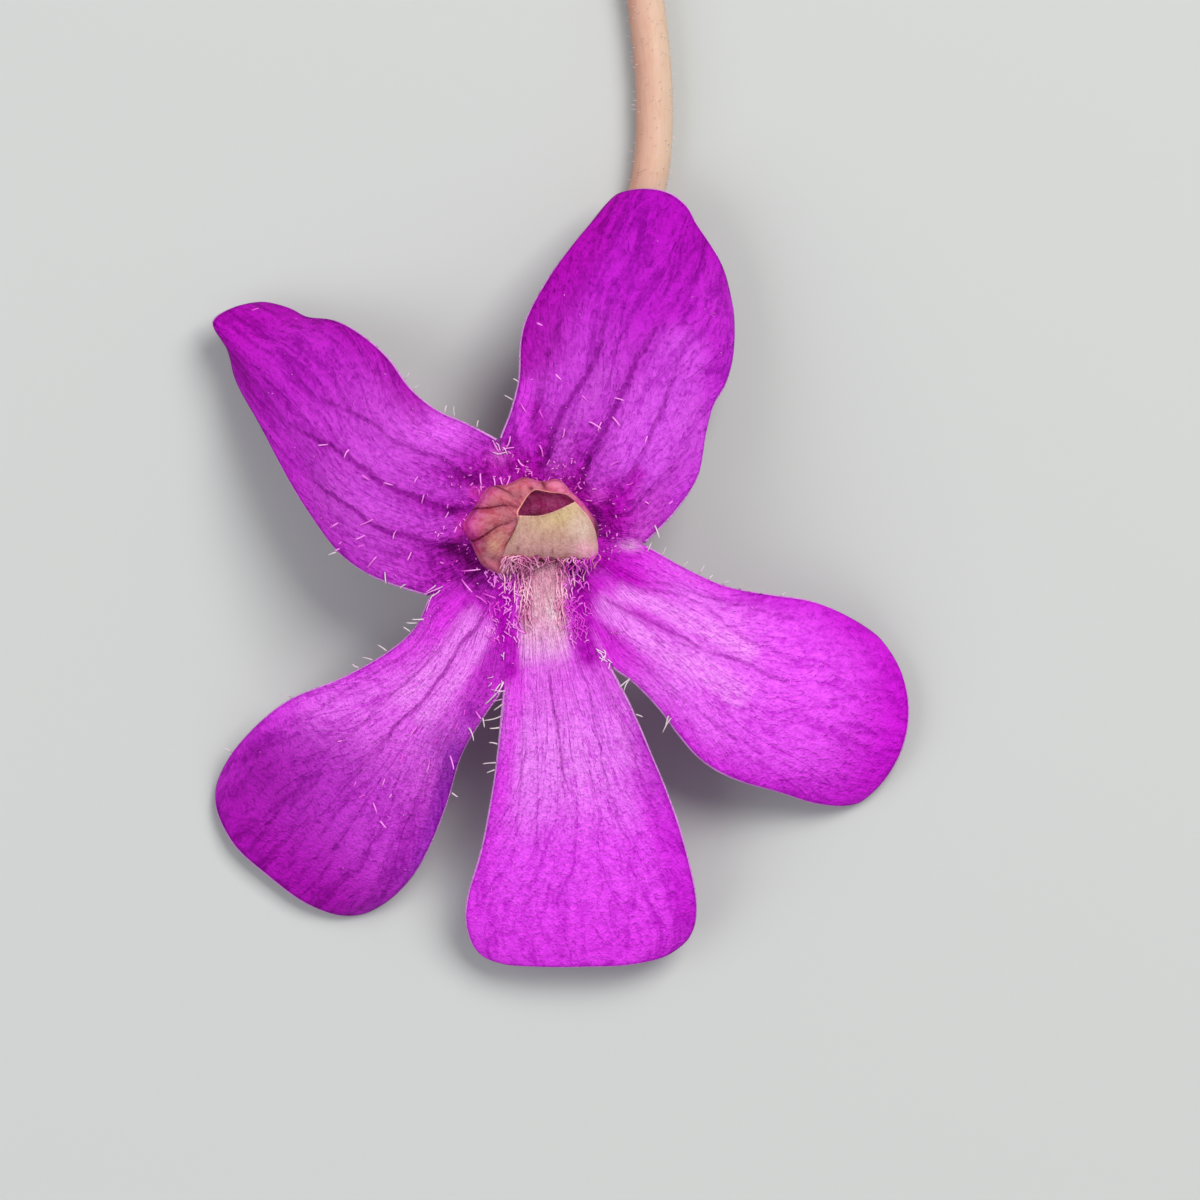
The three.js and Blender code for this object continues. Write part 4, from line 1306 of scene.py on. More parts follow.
# A darker and a lighter copy of the tint, mixed by folds and mottle: partly the hood's own mottling, partly
# painted shade and painted highlight.
shadow = mix_colour(tree, "MULTIPLY", 1.0, source["tint"], (0.84, 0.66, 0.7))
shine = mix_colour(tree, "SCREEN", 1.0, source["tint"], (0.06, 0.05, 0.05))
colour = mix_colour(tree, "MIX", map_range(tree, clouds, 0.75, 1.2, 0.0, 1.0), shadow, shine)
parts = tree.nodes.new("ShaderNodeSeparateXYZ")
tree.links.new(source["uv"], parts.inputs[0])
creases = 0.0
for line in HOOD_VEINS:
    rows = [(nearest_row(hood_grid, x, y), x, y) for x, y in line]
    places = [settle(hood_point, row[U], row[V], x, y) for row, x, y in rows]
    look = dict(Width=0.055, Strength=1.0, Span=15.0, Growth=-13.0)
    crease = drawn_vein(tree, parts.outputs["X"], parts.outputs["Y"], 0, places, **look)
    creases = math_node(tree, "MAXIMUM", crease, creases)
colour = mix_colour(tree, "MULTIPLY", creases, colour, (0.55, 0.16, 0.3))
# A thin pale line of painted light along the free edge, where light shines through it.
lip_start = map_range(tree, parts.outputs["Y"], HOOD_SHARE - 0.034, HOOD_SHARE - 0.016, 0.0, 0.9)
lip_end = map_range(tree, parts.outputs["Y"], HOOD_SHARE, HOOD_SHARE + 0.012, 1.0, 0.0)
lip_light_line = times(tree, lip_start, lip_end)
colour = mix_colour(tree, "MIX", lip_light_line, colour, tuple(LIP_LIGHT_TONE))
clouds = minus(tree, clouds, times(tree, creases, 1.2))
normal = bump(tree, nap, 0.02 * MM, bump(tree, clouds, 0.05 * MM))
dress(tree, shader, colour, normal, map_range(tree, mottle, 0.3, 0.7, 0.45, 0.62), 0.1)
hood = finish_piece("hood_and_throat", hood_bm, hood_skin)
thicken(hood, 0.14)
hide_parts("corolla")

# %% [markdown]
# ## Tube and spur
# Behind the limb the corolla narrows into a short tube, and a slender spur leaves it and comes down to lie
# along the surface. Both are skins of revolution along a line, so a grid is rolled round the line.

# %% Skin rolled round a line
GLANCE = 0.004  # share of a line over which its direction is measured


def heading(line, v):
    ahead = line(min(1.0, v + GLANCE)) - line(max(0.0, v - GLANCE))
    return ahead / np.linalg.norm(ahead)


def rolled(bm, line, radius, sides, rows, tone, uv_shift=0.0):
    def place(u, v):
        centre = line(v)
        ahead = heading(line, v)
        side = np.array([-ahead[1], ahead[0], 0.0])
        if np.linalg.norm(side) < 0.3:
            side = np.array([-1.0, 0.0, 0.0])
        side /= np.linalg.norm(side)
        over = np.cross(ahead, side)
        turn = 2 * math.pi * u
        return Vector(centre + (side * math.cos(turn) + over * math.sin(turn)) * radius(v))

    return moved_grid(bm, sides, rows, place, lambda u, v, p: tone(u, v), uv_shift)


print("a rolled skin stands square to its line")

# %% Tube
TUBE = [  # x, y, half width, half height and z of the sections
    (0.0, 0.2, 1.42, 1.37, 2.82), (0.0, 0.1, 1.8, 1.75, 3.6), (0.05, 0.0, 2.32, 2.02, 4.7),
    (0.08, 0.0, 2.85, 2.15, 5.3), (0.0, 0.0, 3.0, 2.2, 5.62),
]
tube_tones = steps([(0.0, (196, 150, 130)), (0.4, (188, 96, 150)), (1.0, (172, 46, 168))])


def tube_point(u, v):
    place = v * (len(TUBE) - 1)
    row = min(int(place), len(TUBE) - 2)
    x, y, a, b, z = np.array(TUBE[row]) * (row + 1 - place) + np.array(TUBE[row + 1]) * (place - row)
    turn = 2 * math.pi * u
    return Vector((x + a * math.cos(turn), y + b * math.sin(turn), z))


print("half way up the tube", tube_point(0.0, 0.5))

# %% Spur
SPUR = through([
    (0.05, -0.75, 3.9), (0.1, -1.9, 3.35), (0.15, -3.3, 2.25), (0.2, -4.9, 1.3), (0.3, -7.0, 0.86),
    (0.45, -9.5, 0.68), (0.5, -12.0, 0.54), (0.35, -14.3, 0.46),
])
SPUR_START, SPUR_END = 0.93, 0.42  # radii at the tube and near the tip
spur_tones = steps([(0.0, (182, 84, 150)), (0.5, (196, 140, 140)), (1.0, (176, 168, 104))])


def spur_radius(v):
    body = SPUR_START + (SPUR_END - SPUR_START) * v**0.9
    return body * math.sqrt(max(0.0, 1 - smooth(v, 0.965, 1.0) ** 2)) + 0.004


tube_bm = bmesh.new()
moved_grid(tube_bm, 56, 16, tube_point, lambda u, v, p: tube_tones(v), 20)
rolled(tube_bm, SPUR, spur_radius, 24, 70, lambda u, v: spur_tones(v), 30)
weld(tube_bm)
face_out(tube_bm)
tube = finish_piece("tube_and_spur", tube_bm, hood_skin)
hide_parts("corolla")

# %% [markdown]
# ## Stigma, ovary and stamens
# The flap in the mouth of the throat is the large lobe of the stigma: a cream dome with a thin pale rim of
# painted highlight along its top and right edges. It is a patch between four curves again, domed by a
# formula, thickened and rounded. Under it stand a short style on a round ovary and two curved stamens.
# Little of them shows, so rolled skins and spheres are enough.

# %% Edges and dome of the flap
FLAP_TOP = through([
    (-0.56, 0.43, 7.06), (-0.05, 0.42, 7.04), (0.3, 0.43, 7.02), (0.7, 0.53, 7.0), (1.08, 0.67, 6.98),
    (1.44, 0.85, 6.95), (1.82, 1.02, 6.9),
])
FLAP_RIGHT = through([
    (2.82, -0.92, 6.5), (2.68, -0.17, 6.62), (2.44, 0.34, 6.74), (2.14, 0.7, 6.82), (1.82, 1.02, 6.9),
])
FLAP_BOTTOM = through([
    (-1.29, -1.38, 6.42), (-0.98, -1.46, 6.38), (-0.77, -1.38, 6.36), (-0.45, -1.42, 6.34),
    (-0.13, -1.5, 6.32), (0.2, -1.4, 6.31), (0.52, -1.44, 6.3), (0.85, -1.4, 6.3), (1.16, -1.48, 6.3),
    (1.5, -1.4, 6.31), (1.8, -1.44, 6.32), (2.2, -1.52, 6.34), (2.52, -1.5, 6.36), (2.78, -1.28, 6.42),
    (2.82, -0.92, 6.5),
])
FLAP_LEFT = through([
    (-1.29, -1.38, 6.42), (-1.16, -0.95, 6.72), (-0.9, -0.47, 6.94), (-0.69, -0.04, 7.04),
    (-0.56, 0.43, 7.06),
])
DOME_HEIGHT = 0.75
flap_sheet = patch(FLAP_BOTTOM, FLAP_TOP, FLAP_LEFT, FLAP_RIGHT)


def flap_point(u, v):
    x, y, z = flap_sheet(u, v)
    dome = (4 * u * (1 - u)) ** 0.7 * (4 * v * (1 - v)) ** 0.6
    return Vector((x, y, z + DOME_HEIGHT * dome + 0.04 * noise.noise(Vector((x, y, 0)) * 1.5)))


print("top of the dome", flap_point(0.5, 0.5))

# %% Tones of the flap
FLAP_TONE = linear((190, 154, 138))
FLAP_SPOTS = in_light([
    (1.2, 0.35, 0.8, 0.45, 0.8, (192, 172, 124)),
    (1.7, 0.7, 0.5, 0.35, 0.6, (196, 176, 132)),
    (0.4, 0.1, 0.7, 0.4, 0.5, (188, 162, 130)),
    (-0.6, -0.9, 0.7, 0.7, 0.6, (188, 142, 138)),
    (-1.05, -1.2, 0.35, 0.35, 0.6, (170, 112, 120)),
    (0.5, -1.42, 0.7, 0.14, 0.7, (242, 194, 200)),
    (2.1, -0.2, 0.5, 0.6, 0.8, (208, 186, 174)),
    (0.4, -1.15, 1.8, 0.5, 0.8, (222, 170, 168)),
    (2.2, -1.1, 0.5, 0.4, 0.85, (236, 172, 196)),
    (2.65, -1.35, 0.25, 0.25, 0.8, (230, 124, 208)),
    (-0.85, -0.6, 0.16, 0.6, 0.5, (168, 132, 104)),
    (-0.6, -0.99, 0.06, 0.13, 0.8, (120, 66, 70)),
    (-0.69, -1.33, 0.05, 0.1, 0.8, (120, 60, 70)),
    (0.86, -1.12, 0.05, 0.14, 0.85, (128, 66, 72)),
    (0.2, -1.38, 0.05, 0.08, 0.8, (110, 50, 60)),
    (0.45, -1.2, 0.04, 0.12, 0.5, (140, 80, 86)),
    (1.45, -1.25, 0.04, 0.12, 0.5, (150, 84, 92)),
    (-0.15, -1.1, 0.04, 0.14, 0.45, (140, 84, 86)),
])
FLAP_RIM_HIGHLIGHT = linear((238, 186, 172))


def flap_tone(u, v, p):
    tone = spotted(FLAP_TONE, FLAP_SPOTS, p.x, p.y)
    # the pale rim along the top and right edges is a painted highlight
    rim = max(smooth(v, 0.955, 0.985), smooth(u, 0.965, 0.99))
    return blend(tone, FLAP_RIM_HIGHLIGHT, 0.85 * rim)


print(len(FLAP_SPOTS), "spots on the flap")

# %% Stigma skin and the flap itself
flap_bm = bmesh.new()
moved_grid(flap_bm, 64, 44, flap_point, flap_tone)
face_out(flap_bm, upwards=True)

stigma_skin, tree, shader, source = new_material("stigma_skin")
nap = use_group(tree, velvet, Vector=source["spot"], Fineness=8000.0)
rays = use_group(tree, streaks, Vector=source["uv"], Across=22.0, Along=3.0)
mottle = noise_node(tree, source["spot"], 3800.0, 3.0, 0.65)
colour = stain(tree, source["tint"], (0.76, 0.62, 0.6), rays, 0.48, 0.68, 0.55)
colour = stain(tree, colour, (0.84, 0.74, 0.72), mottle, 0.46, 0.62, 0.5)
colour = stain(tree, colour, (0.8, 0.7, 0.66), nap, 0.7, 0.35, 0.3)
normal = bump(tree, nap, 0.02 * MM, bump(tree, rays, 0.04 * MM))
dress(tree, shader, colour, normal, map_range(tree, rays, 0.3, 0.7, 0.5, 0.65), 0.1)
stigma = finish_piece("stigma_flap", flap_bm, stigma_skin)
thicken(stigma, 0.22)
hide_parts("pistil")

# %% Ovary and style
OVARY_RADIUS = 0.6
STYLE = through([(0.02, 0.38, 3.9), (0.2, 0.3, 4.9), (0.6, 0.1, 6.0), (0.85, -0.3, 7.0)])


def style_radius(v):
    return 0.34 - 0.08 * math.sin(math.pi * v)


def ball(bm, segments, rings, tone, place):
    layer = bm.verts.layers.float_color["tint"]
    for vert in bmesh.ops.create_uvsphere(bm, u_segments=segments, v_segments=rings, radius=1.0)["verts"]:
        vert[layer] = (*tone, 1.0)
        vert.co = at(*place(vert.co))


style_bm = bmesh.new()
rolled(style_bm, STYLE, style_radius, 16, 24, lambda u, v: linear((206, 190, 130)), 2)
ball(style_bm, 24, 16, linear((168, 176, 92)), lambda p: Vector((0, 0.4, 3.5)) + OVARY_RADIUS * p)
weld(style_bm)
face_out(style_bm)
style = finish_piece("ovary_and_style", style_bm, stigma_skin)
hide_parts("pistil")

# %% Stamens
FILAMENTS = {
    "stamen_left": [(-0.38, -0.5, 3.35), (-0.72, -0.55, 4.2), (-0.45, -0.6, 5.2), (-0.1, -0.6, 5.75)],
    "stamen_right": [(0.42, -0.5, 3.35), (0.95, -0.6, 4.2), (1.3, -0.55, 5.2), (1.45, -0.45, 5.75)],
}


def anther(p):
    slit = 1 - 0.25 * math.exp(-((p.x / 0.25) ** 2)) * (p.y < 0)
    return Vector((0.36 * p.x, 0.28 * p.y * slit, 0.42 * p.z))


for name, line in FILAMENTS.items():
    stamen_bm = bmesh.new()
    rolled(stamen_bm, through(line), lambda v: 0.17, 12, 20, lambda u, v: linear((226, 208, 160)), 3)
    ball(stamen_bm, 20, 14, linear((232, 214, 120)), lambda p: Vector(line[-1]) + anther(p))
    weld(stamen_bm)
    face_out(stamen_bm)
    stamen = finish_piece(name + "_fine", stamen_bm, stigma_skin)
    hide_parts(name)

# %% [markdown]
# ## Calyx and scape
# Five small sepals stand on a cup behind the limb, and the scape carries it. The scape is a smooth round
# stem, pinkish tan. Sepals are grids on narrow curved strips, cup and scape are rolled skins.

# %% Sepals on narrow curved strips
CALYX = (0.0, 0.2)
SEPAL_LENGTH = 4.9  # reach of SEPAL_RISE, which the sepals share
SEPALS = [  # bearing, reach, half width
    (-12, 4.4, 0.8), (106, 3.4, 0.9), (207, 4.6, 0.8), (230, 4.5, 0.7), (316, 4.6, 0.7),
]
SEPAL_RISE = through([
    (0.3, 0, 2.6), (0.95, 0, 2.6), (1.6, 0, 2.62), (2.4, 0, 3.0), (3.3, 0, 3.68), (SEPAL_LENGTH, 0, 4.42),
])
sepal_tones = steps([(0.0, (120, 122, 62)), (0.45, (122, 112, 62)), (1.0, (128, 70, 66))])


def sepal_surface(bearing, reach, half_width):
    turn = math.radians(bearing)

    def point(u, v):
        along, _, z = SEPAL_RISE(v)
        along *= 1 + (reach / SEPAL_LENGTH - 1) * v
        width = half_width * (0.6 + 0.4 * math.sin(math.pi * v)) * (1 - 0.94 * v**3)
        t = 2 * u - 1
        x = CALYX[0] + along * math.cos(turn) + t * width * math.sin(turn)
        y = CALYX[1] + along * math.sin(turn) - t * width * math.cos(turn)
        return Vector((x, y, z + 0.18 * t * t * v))

    return point


print(len(SEPALS), "sepals")

# %% Sepals and their skin
calyx_bm = bmesh.new()
for index, sepal in enumerate(SEPALS):
    moved_grid(calyx_bm, 12, 24, sepal_surface(*sepal), lambda u, v, p: sepal_tones(v), index)
face_out(calyx_bm, upwards=True)

calyx_skin, tree, shader, source = new_material("calyx_skin")
mottle = noise_node(tree, source["spot"], 1800.0, 3.0)
ribs = use_group(tree, streaks, Vector=source["uv"], Across=12.0, Along=2.0)
colour = stain(tree, source["tint"], (0.7, 0.6, 0.5), mottle, 0.4, 0.7, 0.6)
colour = stain(tree, colour, (0.7, 0.75, 0.6), ribs, 0.5, 0.7, 0.5)
normal = bump(tree, mottle, 0.04 * MM, bump(tree, ribs, 0.05 * MM))
dress(tree, shader, colour, normal, map_range(tree, mottle, 0.3, 0.7, 0.4, 0.6))
sepals = finish_piece("sepals", calyx_bm, calyx_skin)
thicken(sepals, 0.4)
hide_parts("calyx")

# %% Cup behind the sepals
CUP = through([
    (0.02, 0, 2.12), (0.55, 0, 2.12), (0.95, 0, 2.25), (1.22, 0, 2.5), (1.2, 0, 2.63), (0.02, 0, 2.63),
])


def cup_point(u, v):
    radius, _, z = CUP(v)
    turn = 2 * math.pi * u
    return Vector((CALYX[0] + radius * math.cos(turn), CALYX[1] + radius * math.sin(turn), z))


cup_bm = bmesh.new()
moved_grid(cup_bm, 32, 18, cup_point, lambda u, v, p: sepal_tones(0.2), 8)
weld(cup_bm, 0.005)
face_out(cup_bm)
cup = finish_piece("calyx_cup", cup_bm, calyx_skin)
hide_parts("calyx")

# %% Scape
SCAPE_Z = 0.79
SCAPE_LINE = through([
    (0.0, 0.2, 1.9), (0.0, 0.24, 1.55), (0.03, 0.62, 1.1), (0.13, 1.35, 0.84), (0.4, 2.3, SCAPE_Z),
    (1.3, 4.6, SCAPE_Z), (2.7, 8.0, SCAPE_Z), (4.1, 11.6, SCAPE_Z), (5.05, 15.2, SCAPE_Z),
    (5.2, 18.4, SCAPE_Z), (4.9, 22.0, SCAPE_Z), (4.1, 27.0, SCAPE_Z), (3.1, 33.0, SCAPE_Z),
    (2.5, 39.5, SCAPE_Z), (2.6, 46.0, SCAPE_Z), (3.4, 52.0, SCAPE_Z), (4.7, 57.5, SCAPE_Z),
])
scape_shading_tones = steps([(-1.0, (210, 182, 158)), (0.0, (202, 162, 140)), (1.0, (192, 142, 122))])


def scape_radius(v):
    return 0.56 + 0.23 * smooth(v, 0.0, 0.08)


# one side of the stem is painted lighter and the other darker: painted light and shade across the round stem
def scape_side_shading(u, v):
    return scape_shading_tones(math.cos(2 * math.pi * u))


scape_bm = bmesh.new()
rolled(scape_bm, SCAPE_LINE, scape_radius, 32, 200, scape_side_shading)
weld(scape_bm)
for vert in scape_bm.verts:
    vert.co.z = max(vert.co.z, 0.0)
bmesh.ops.holes_fill(scape_bm, edges=[edge for edge in scape_bm.edges if edge.is_boundary], sides=0)
face_out(scape_bm)
print("scape", len(scape_bm.faces), "faces")

# %% Scape skin
scape_skin, tree, shader, source = new_material("scape_skin")
fibre = use_group(tree, streaks, Vector=source["uv"], Across=22.0, Along=30.0)
mottle = noise_node(tree, source["spot"], 900.0, 3.0)
colour = stain(tree, source["tint"], (0.86, 0.74, 0.68), fibre, 0.45, 0.75, 0.5)
colour = stain(tree, colour, (0.9, 0.76, 0.72), mottle, 0.45, 0.75, 0.4)
dress(tree, shader, colour, bump(tree, fibre, 0.03 * MM), map_range(tree, fibre, 0.3, 0.7, 0.42, 0.6))
scape = finish_piece("scape_stem", scape_bm, scape_skin)
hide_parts("scape")

# %% [markdown]
# ## Hairs
# The throat, the lobes' lower halves, the margins, the notches and the stem carry fine hairs, some with a
# small gland at the tip. Below the throat they are curly and lie in the dark gaps beside the stripe.
# Particle hair isn't kept by the export, so each hair is a small bent mesh. One template is cut into levels
# once and then copied to every root.

# %% Hair template
HAIR_PROFILE = [(0.0, 1.15), (0.5, 0.8), (0.8, 0.75), (0.92, 1.05), (1.0, 0.55)]  # place along it, swelling


def hair_template(levels, sides):
    template = bmesh.new()
    size = dict(segments=sides, radius1=1.0, radius2=1.0, depth=1.0)
    bmesh.ops.create_cone(template, cap_ends=True, cap_tris=True, **size)
    for level in range(1, levels):
        geometry = template.verts[:] + template.edges[:] + template.faces[:]
        height = level / levels - 0.5
        bmesh.ops.bisect_plane(template, geom=geometry, plane_co=(0, 0, height), plane_no=(0, 0, 1))
    for vert in template.verts:
        swell = np.interp(vert.co.z + 0.5, *zip(*HAIR_PROFILE))
        vert.co.x *= swell
        vert.co.y *= swell
    mesh = bpy.data.meshes.new("hair_template")
    template.to_mesh(mesh)
    template.free()
    return mesh


print("swelling at the gland", HAIR_PROFILE[-2][1])

# %% Hairs copied to their roots


def hair_piece(name, material, hairs, levels=4, sides=4, curl=0.0):
    template = hair_template(levels, sides)
    count = len(template.vertices)
    bm = bmesh.new()
    for root, reach, radius, bend in hairs:
        bm.from_mesh(template)
        bm.verts.ensure_lookup_table()
        side = reach.orthogonal().normalized()
        other = reach.normalized().cross(side)
        for vert in bm.verts[-count:]:
            x, y, z = vert.co
            t = z + 0.5
            wave = 4 * t * (1 - t) + curl * math.sin(2 * math.pi * t)
            point = root + reach * t + Vector(bend) * (reach.length * wave)
            vert.co = at(*(point + (side * x + other * y) * radius))
    bpy.data.meshes.remove(template)
    face_out(bm)
    return finish_piece(name, bm, material)


print("a hair bends to one side, and a curl adds a bend back")

# %% Hair skins


def hair_skin(name, dark, pale):
    material, tree, shader, source = new_material(name)
    cloudy = noise_node(tree, source["spot"], 900.0, 2.0)
    share = map_range(tree, cloudy, 0.35, 0.65, 0.0, 1.0)
    colour = mix_colour(tree, "MIX", share, tuple(linear(dark)), tuple(linear(pale)))
    tree.links.new(colour, shader["Base Color"])
    shader["Roughness"].default_value = 0.4
    shader["Specular IOR Level"].default_value = 0.15
    return material


pink_hair = hair_skin("pink_hair", (224, 70, 212), (248, 148, 238))
clear_hair = hair_skin("clear_hair", (190, 174, 180), (220, 204, 210))
lilac_hair = hair_skin("lilac_hair", (220, 150, 214), (244, 206, 238))
pale_hair = hair_skin("pale_hair", (206, 110, 164), (240, 180, 208))
rose_hair = hair_skin("rose_hair", (214, 56, 206), (246, 150, 238))
print("hair skins", [skin.name for skin in (pink_hair, clear_hair, lilac_hair, pale_hair, rose_hair)])

# %% Lying, stretched and upright hairs
draw = random.Random(7)
ARCH = 0.12  # how high a hair bends above its chord, as a share of its length
HAIR_RADIUS = dict(
    lobe=0.042, dot=0.024, edge=0.04, notch=0.027, curly=0.04, stub=0.034, fringe=0.038, tuft=0.045,
    stem=0.014,
)


def on_limb(x, y):
    return locate(x, y)[-1]


def bent(spread_x, spread_y):
    return draw.gauss(0, spread_x), draw.gauss(0, spread_y), ARCH


def lying_hair(x, y, bearing, length, lift, radius):
    turn = math.radians(bearing)
    reach = Vector((length * math.cos(turn), length * math.sin(turn), length * lift))
    return on_limb(x, y) - Vector((0, 0, 0.04)), reach, radius, bent(0.04, 0.04)


def strand(x, y, tip_x, tip_y, radius):
    root, tip = on_limb(x, y), on_limb(tip_x, tip_y)
    reach = Vector((tip_x - x, tip_y - y, tip.z - root.z + draw.uniform(0.03, 0.12)))
    return root, reach, radius, bent(0.06, 0.04)


def upright(root, spread, shortest, longest, radius):
    reach = Vector((draw.gauss(0, spread), draw.gauss(0, spread), draw.uniform(shortest, longest)))
    return root, reach, radius, (0, 0, 0)


print("hair radii", HAIR_RADIUS)

# %% [markdown]
# ## Where the hairs stand
# The clearest hairs are listed with their roots, bearings and lengths, because they shape the look
# of the margins and the notches. The many small ones are strewn by one seeded draw, which gives the same
# flower each time. A lying hair starts on the limb and rises a little, a strand runs from a root to a tip,
# and an upright one is a stub.

# %% Hairs on the lobes
LOBE_HAIRS = [  # root on the plan, bearing, length
    (-9.2, 1.7, 0, 0.4), (-9.1, 0.9, 15, 0.7), (-9.0, 0.3, 15, 0.5), (-8.6, -0.1, 30, 0.7),
    (-7.3, 0.0, 25, 0.6), (-7.5, -0.6, 25, 0.5), (-5.9, -0.6, 70, 0.4), (-7.4, -0.9, 15, 0.4),
    (-5.3, -1.5, 65, 0.4), (-7.0, -1.8, 50, 0.6), (-8.4, -1.1, 20, 0.4), (-8.2, -0.8, 45, 0.3),
    (-6.9, 1.9, 145, 0.4), (-6.3, 1.8, -15, 0.4), (-4.7, 0.9, 75, 0.4), (-9.1, 3.4, 5, 0.4),
    (-7.8, 3.2, -120, 0.4), (-5.0, 1.8, 60, 0.3), (-12.0, 9.2, 20, 0.3), (-3.7, 0.3, 60, 0.3),
    (2.4, 4.4, -30, 0.6), (2.8, 4.0, 70, 0.4), (3.4, 4.6, -50, 0.5), (3.5, 5.4, -15, 0.4),
    (0.3, 3.4, -70, 0.4), (-0.5, 5.2, -60, 0.5), (0.3, 4.9, -65, 0.4), (2.1, 5.5, -45, 0.3),
    (3.3, 2.5, 30, 0.4), (1.3, 3.7, 80, 0.4), (4.0, 1.7, 20, 0.3), (4.8, 1.0, -35, 0.2),
    (1.0, 6.4, -45, 0.3), (0.2, 8.6, -25, 0.3), (4.8, 3.5, 70, 0.3), (5.8, 0.9, 35, 0.2),
    (-0.6, 2.8, -50, 0.4), (-5.2, -9.0, 55, 0.5), (-4.5, -10.5, 80, 0.6), (-3.5, -9.8, -75, 0.6),
    (-4.2, -9.3, 50, 0.3), (-6.4, -11.1, 70, 0.4), (-6.1, -11.6, 55, 0.4), (-6.8, -11.8, -70, 0.5),
    (-6.5, -12.6, -50, 0.4), (-7.4, -11.6, 25, 0.3), (-5.5, -12.4, 80, 0.3), (-8.3, -9.2, 25, 0.4),
    (-2.4, -7.9, -55, 0.4), (-2.9, -8.1, 80, 0.3), (-3.3, -8.7, 60, 0.3), (-5.5, -9.8, -115, 0.3),
    (-7.6, -11.1, 70, 0.3),
]
DOT_COUNT = 150  # small ones that stand up and show as pale dots

lobe_hairs = [lying_hair(*hair, draw.uniform(0.25, 0.6), HAIR_RADIUS["lobe"]) for hair in LOBE_HAIRS]
for _ in range(DOT_COUNT):
    name = draw.choice(LOBE_NAMES)
    root = surfaces[name](draw.uniform(0.05, 0.95), 0.1 + 0.75 * draw.random() ** 1.7)
    lobe_hairs.append(upright(root, 0.04, 0.1, 0.2, HAIR_RADIUS["dot"]))
lobe_hair = hair_piece("lobe_hairs", pink_hair, lobe_hairs)

# %% Hairs on the margins and in the notches
EDGE_HAIRS = [  # root on the plan, bearing, length
    (-6.2, -2.7, 95, 0.5), (-5.6, -2.85, 35, 0.3), (-8.35, -1.2, 200, 0.35), (-1.0, 5.3, 150, 0.4),
    (-0.6, 6.1, 150, 0.25), (-2.7, -8.6, -70, 0.6), (-2.0, -7.6, 45, 0.65), (-1.6, -7.1, 55, 0.45),
    (-2.1, -8.2, -80, 0.4), (-4.6, -4.0, 180, 0.5), (-4.9, -4.1, 180, 0.45), (-5.2, -4.4, 145, 0.35),
    (-6.2, -5.3, 145, 0.45), (-6.8, -5.7, 165, 0.45), (-7.4, -6.0, 150, 0.3), (-10.3, -7.3, 170, 0.45),
    (-12.9, -9.7, 150, 0.35), (-3.4, -11.4, -35, 0.3), (-1.3, -8.1, -165, 0.75), (-1.4, -8.6, -175, 0.4),
    (-1.5, -9.3, 170, 0.35), (-1.55, -10.1, -175, 0.55), (-1.6, -10.4, -160, 0.35),
    (-1.25, -7.6, -145, 0.45), (4.5, -8.0, -20, 0.3), (5.9, -8.2, -120, 0.7), (5.8, -8.1, -105, 0.5),
    (3.7, -6.9, 40, 0.6), (4.1, -6.6, 245, 0.5), (4.9, -1.1, 65, 0.4), (5.5, -1.3, 65, 0.4),
    (6.4, -1.8, 50, 0.35), (7.1, -2.0, 60, 0.4), (7.5, -2.3, 45, 0.25), (8.1, -2.5, 30, 0.3),
    (8.8, -2.7, 35, 0.25), (9.1, -2.8, 15, 0.25), (9.6, -2.9, 20, 0.3), (10.6, -3.0, 35, 0.25),
    (14.0, -4.2, 25, 0.3), (5.2, 0.0, -70, 0.6), (-7.0, 7.9, 70, 0.25), (-5.3, 6.3, 60, 0.3),
    (-4.9, 5.9, 40, 0.25), (-3.6, 4.9, 75, 0.3), (-3.2, 4.7, 95, 0.45), (-2.3, 4.2, 80, 0.3),
]
NOTCH_HAIRS = [  # root and tip on the plan
    (-3.8, -2.6, -4.6, -2.95), (-3.9, -2.8, -4.35, -3.15), (-4.15, -2.95, -4.5, -3.7),
    (-4.1, -2.55, -4.5, -2.85), (-1.2, -6.65, -1.65, -7.35), (-1.3, -6.6, -1.45, -7.2),
    (-1.35, -7.4, -1.75, -7.5), (-1.15, -7.0, -1.75, -6.95), (-1.66, -6.4, -1.91, -6.51),
    (-1.74, -6.64, -1.87, -6.82), (-1.19, -5.4, -1.22, -5.72), (-1.32, -5.5, -1.2, -5.62),
    (2.7, -5.25, 3.1, -5.45), (2.85, -5.6, 3.2, -5.8), (3.0, -5.3, 3.05, -5.75), (3.15, -5.5, 2.95, -5.8),
    (3.2, -5.7, 3.4, -5.85), (3.3, -5.85, 3.25, -6.1), (2.75, -5.3, 2.95, -5.5), (2.9, -5.4, 3.02, -5.66),
    (-1.68, 3.1, -1.3, 3.0), (-1.5, 3.0, -1.1, 3.1), (-1.68, 3.6, -1.5, 3.3), (-1.55, 3.5, -1.35, 3.15),
    (-1.25, 3.3, -1.05, 3.0),
]

edge_hairs = [lying_hair(*hair, 0.25, HAIR_RADIUS["edge"]) for hair in EDGE_HAIRS]
edge_hair = hair_piece("edge_hairs", clear_hair, edge_hairs)
notch_hairs = [strand(*hair, HAIR_RADIUS["notch"]) for hair in NOTCH_HAIRS]
notch_hair = hair_piece("notch_hairs", lilac_hair, notch_hairs, levels=6, curl=0.4)

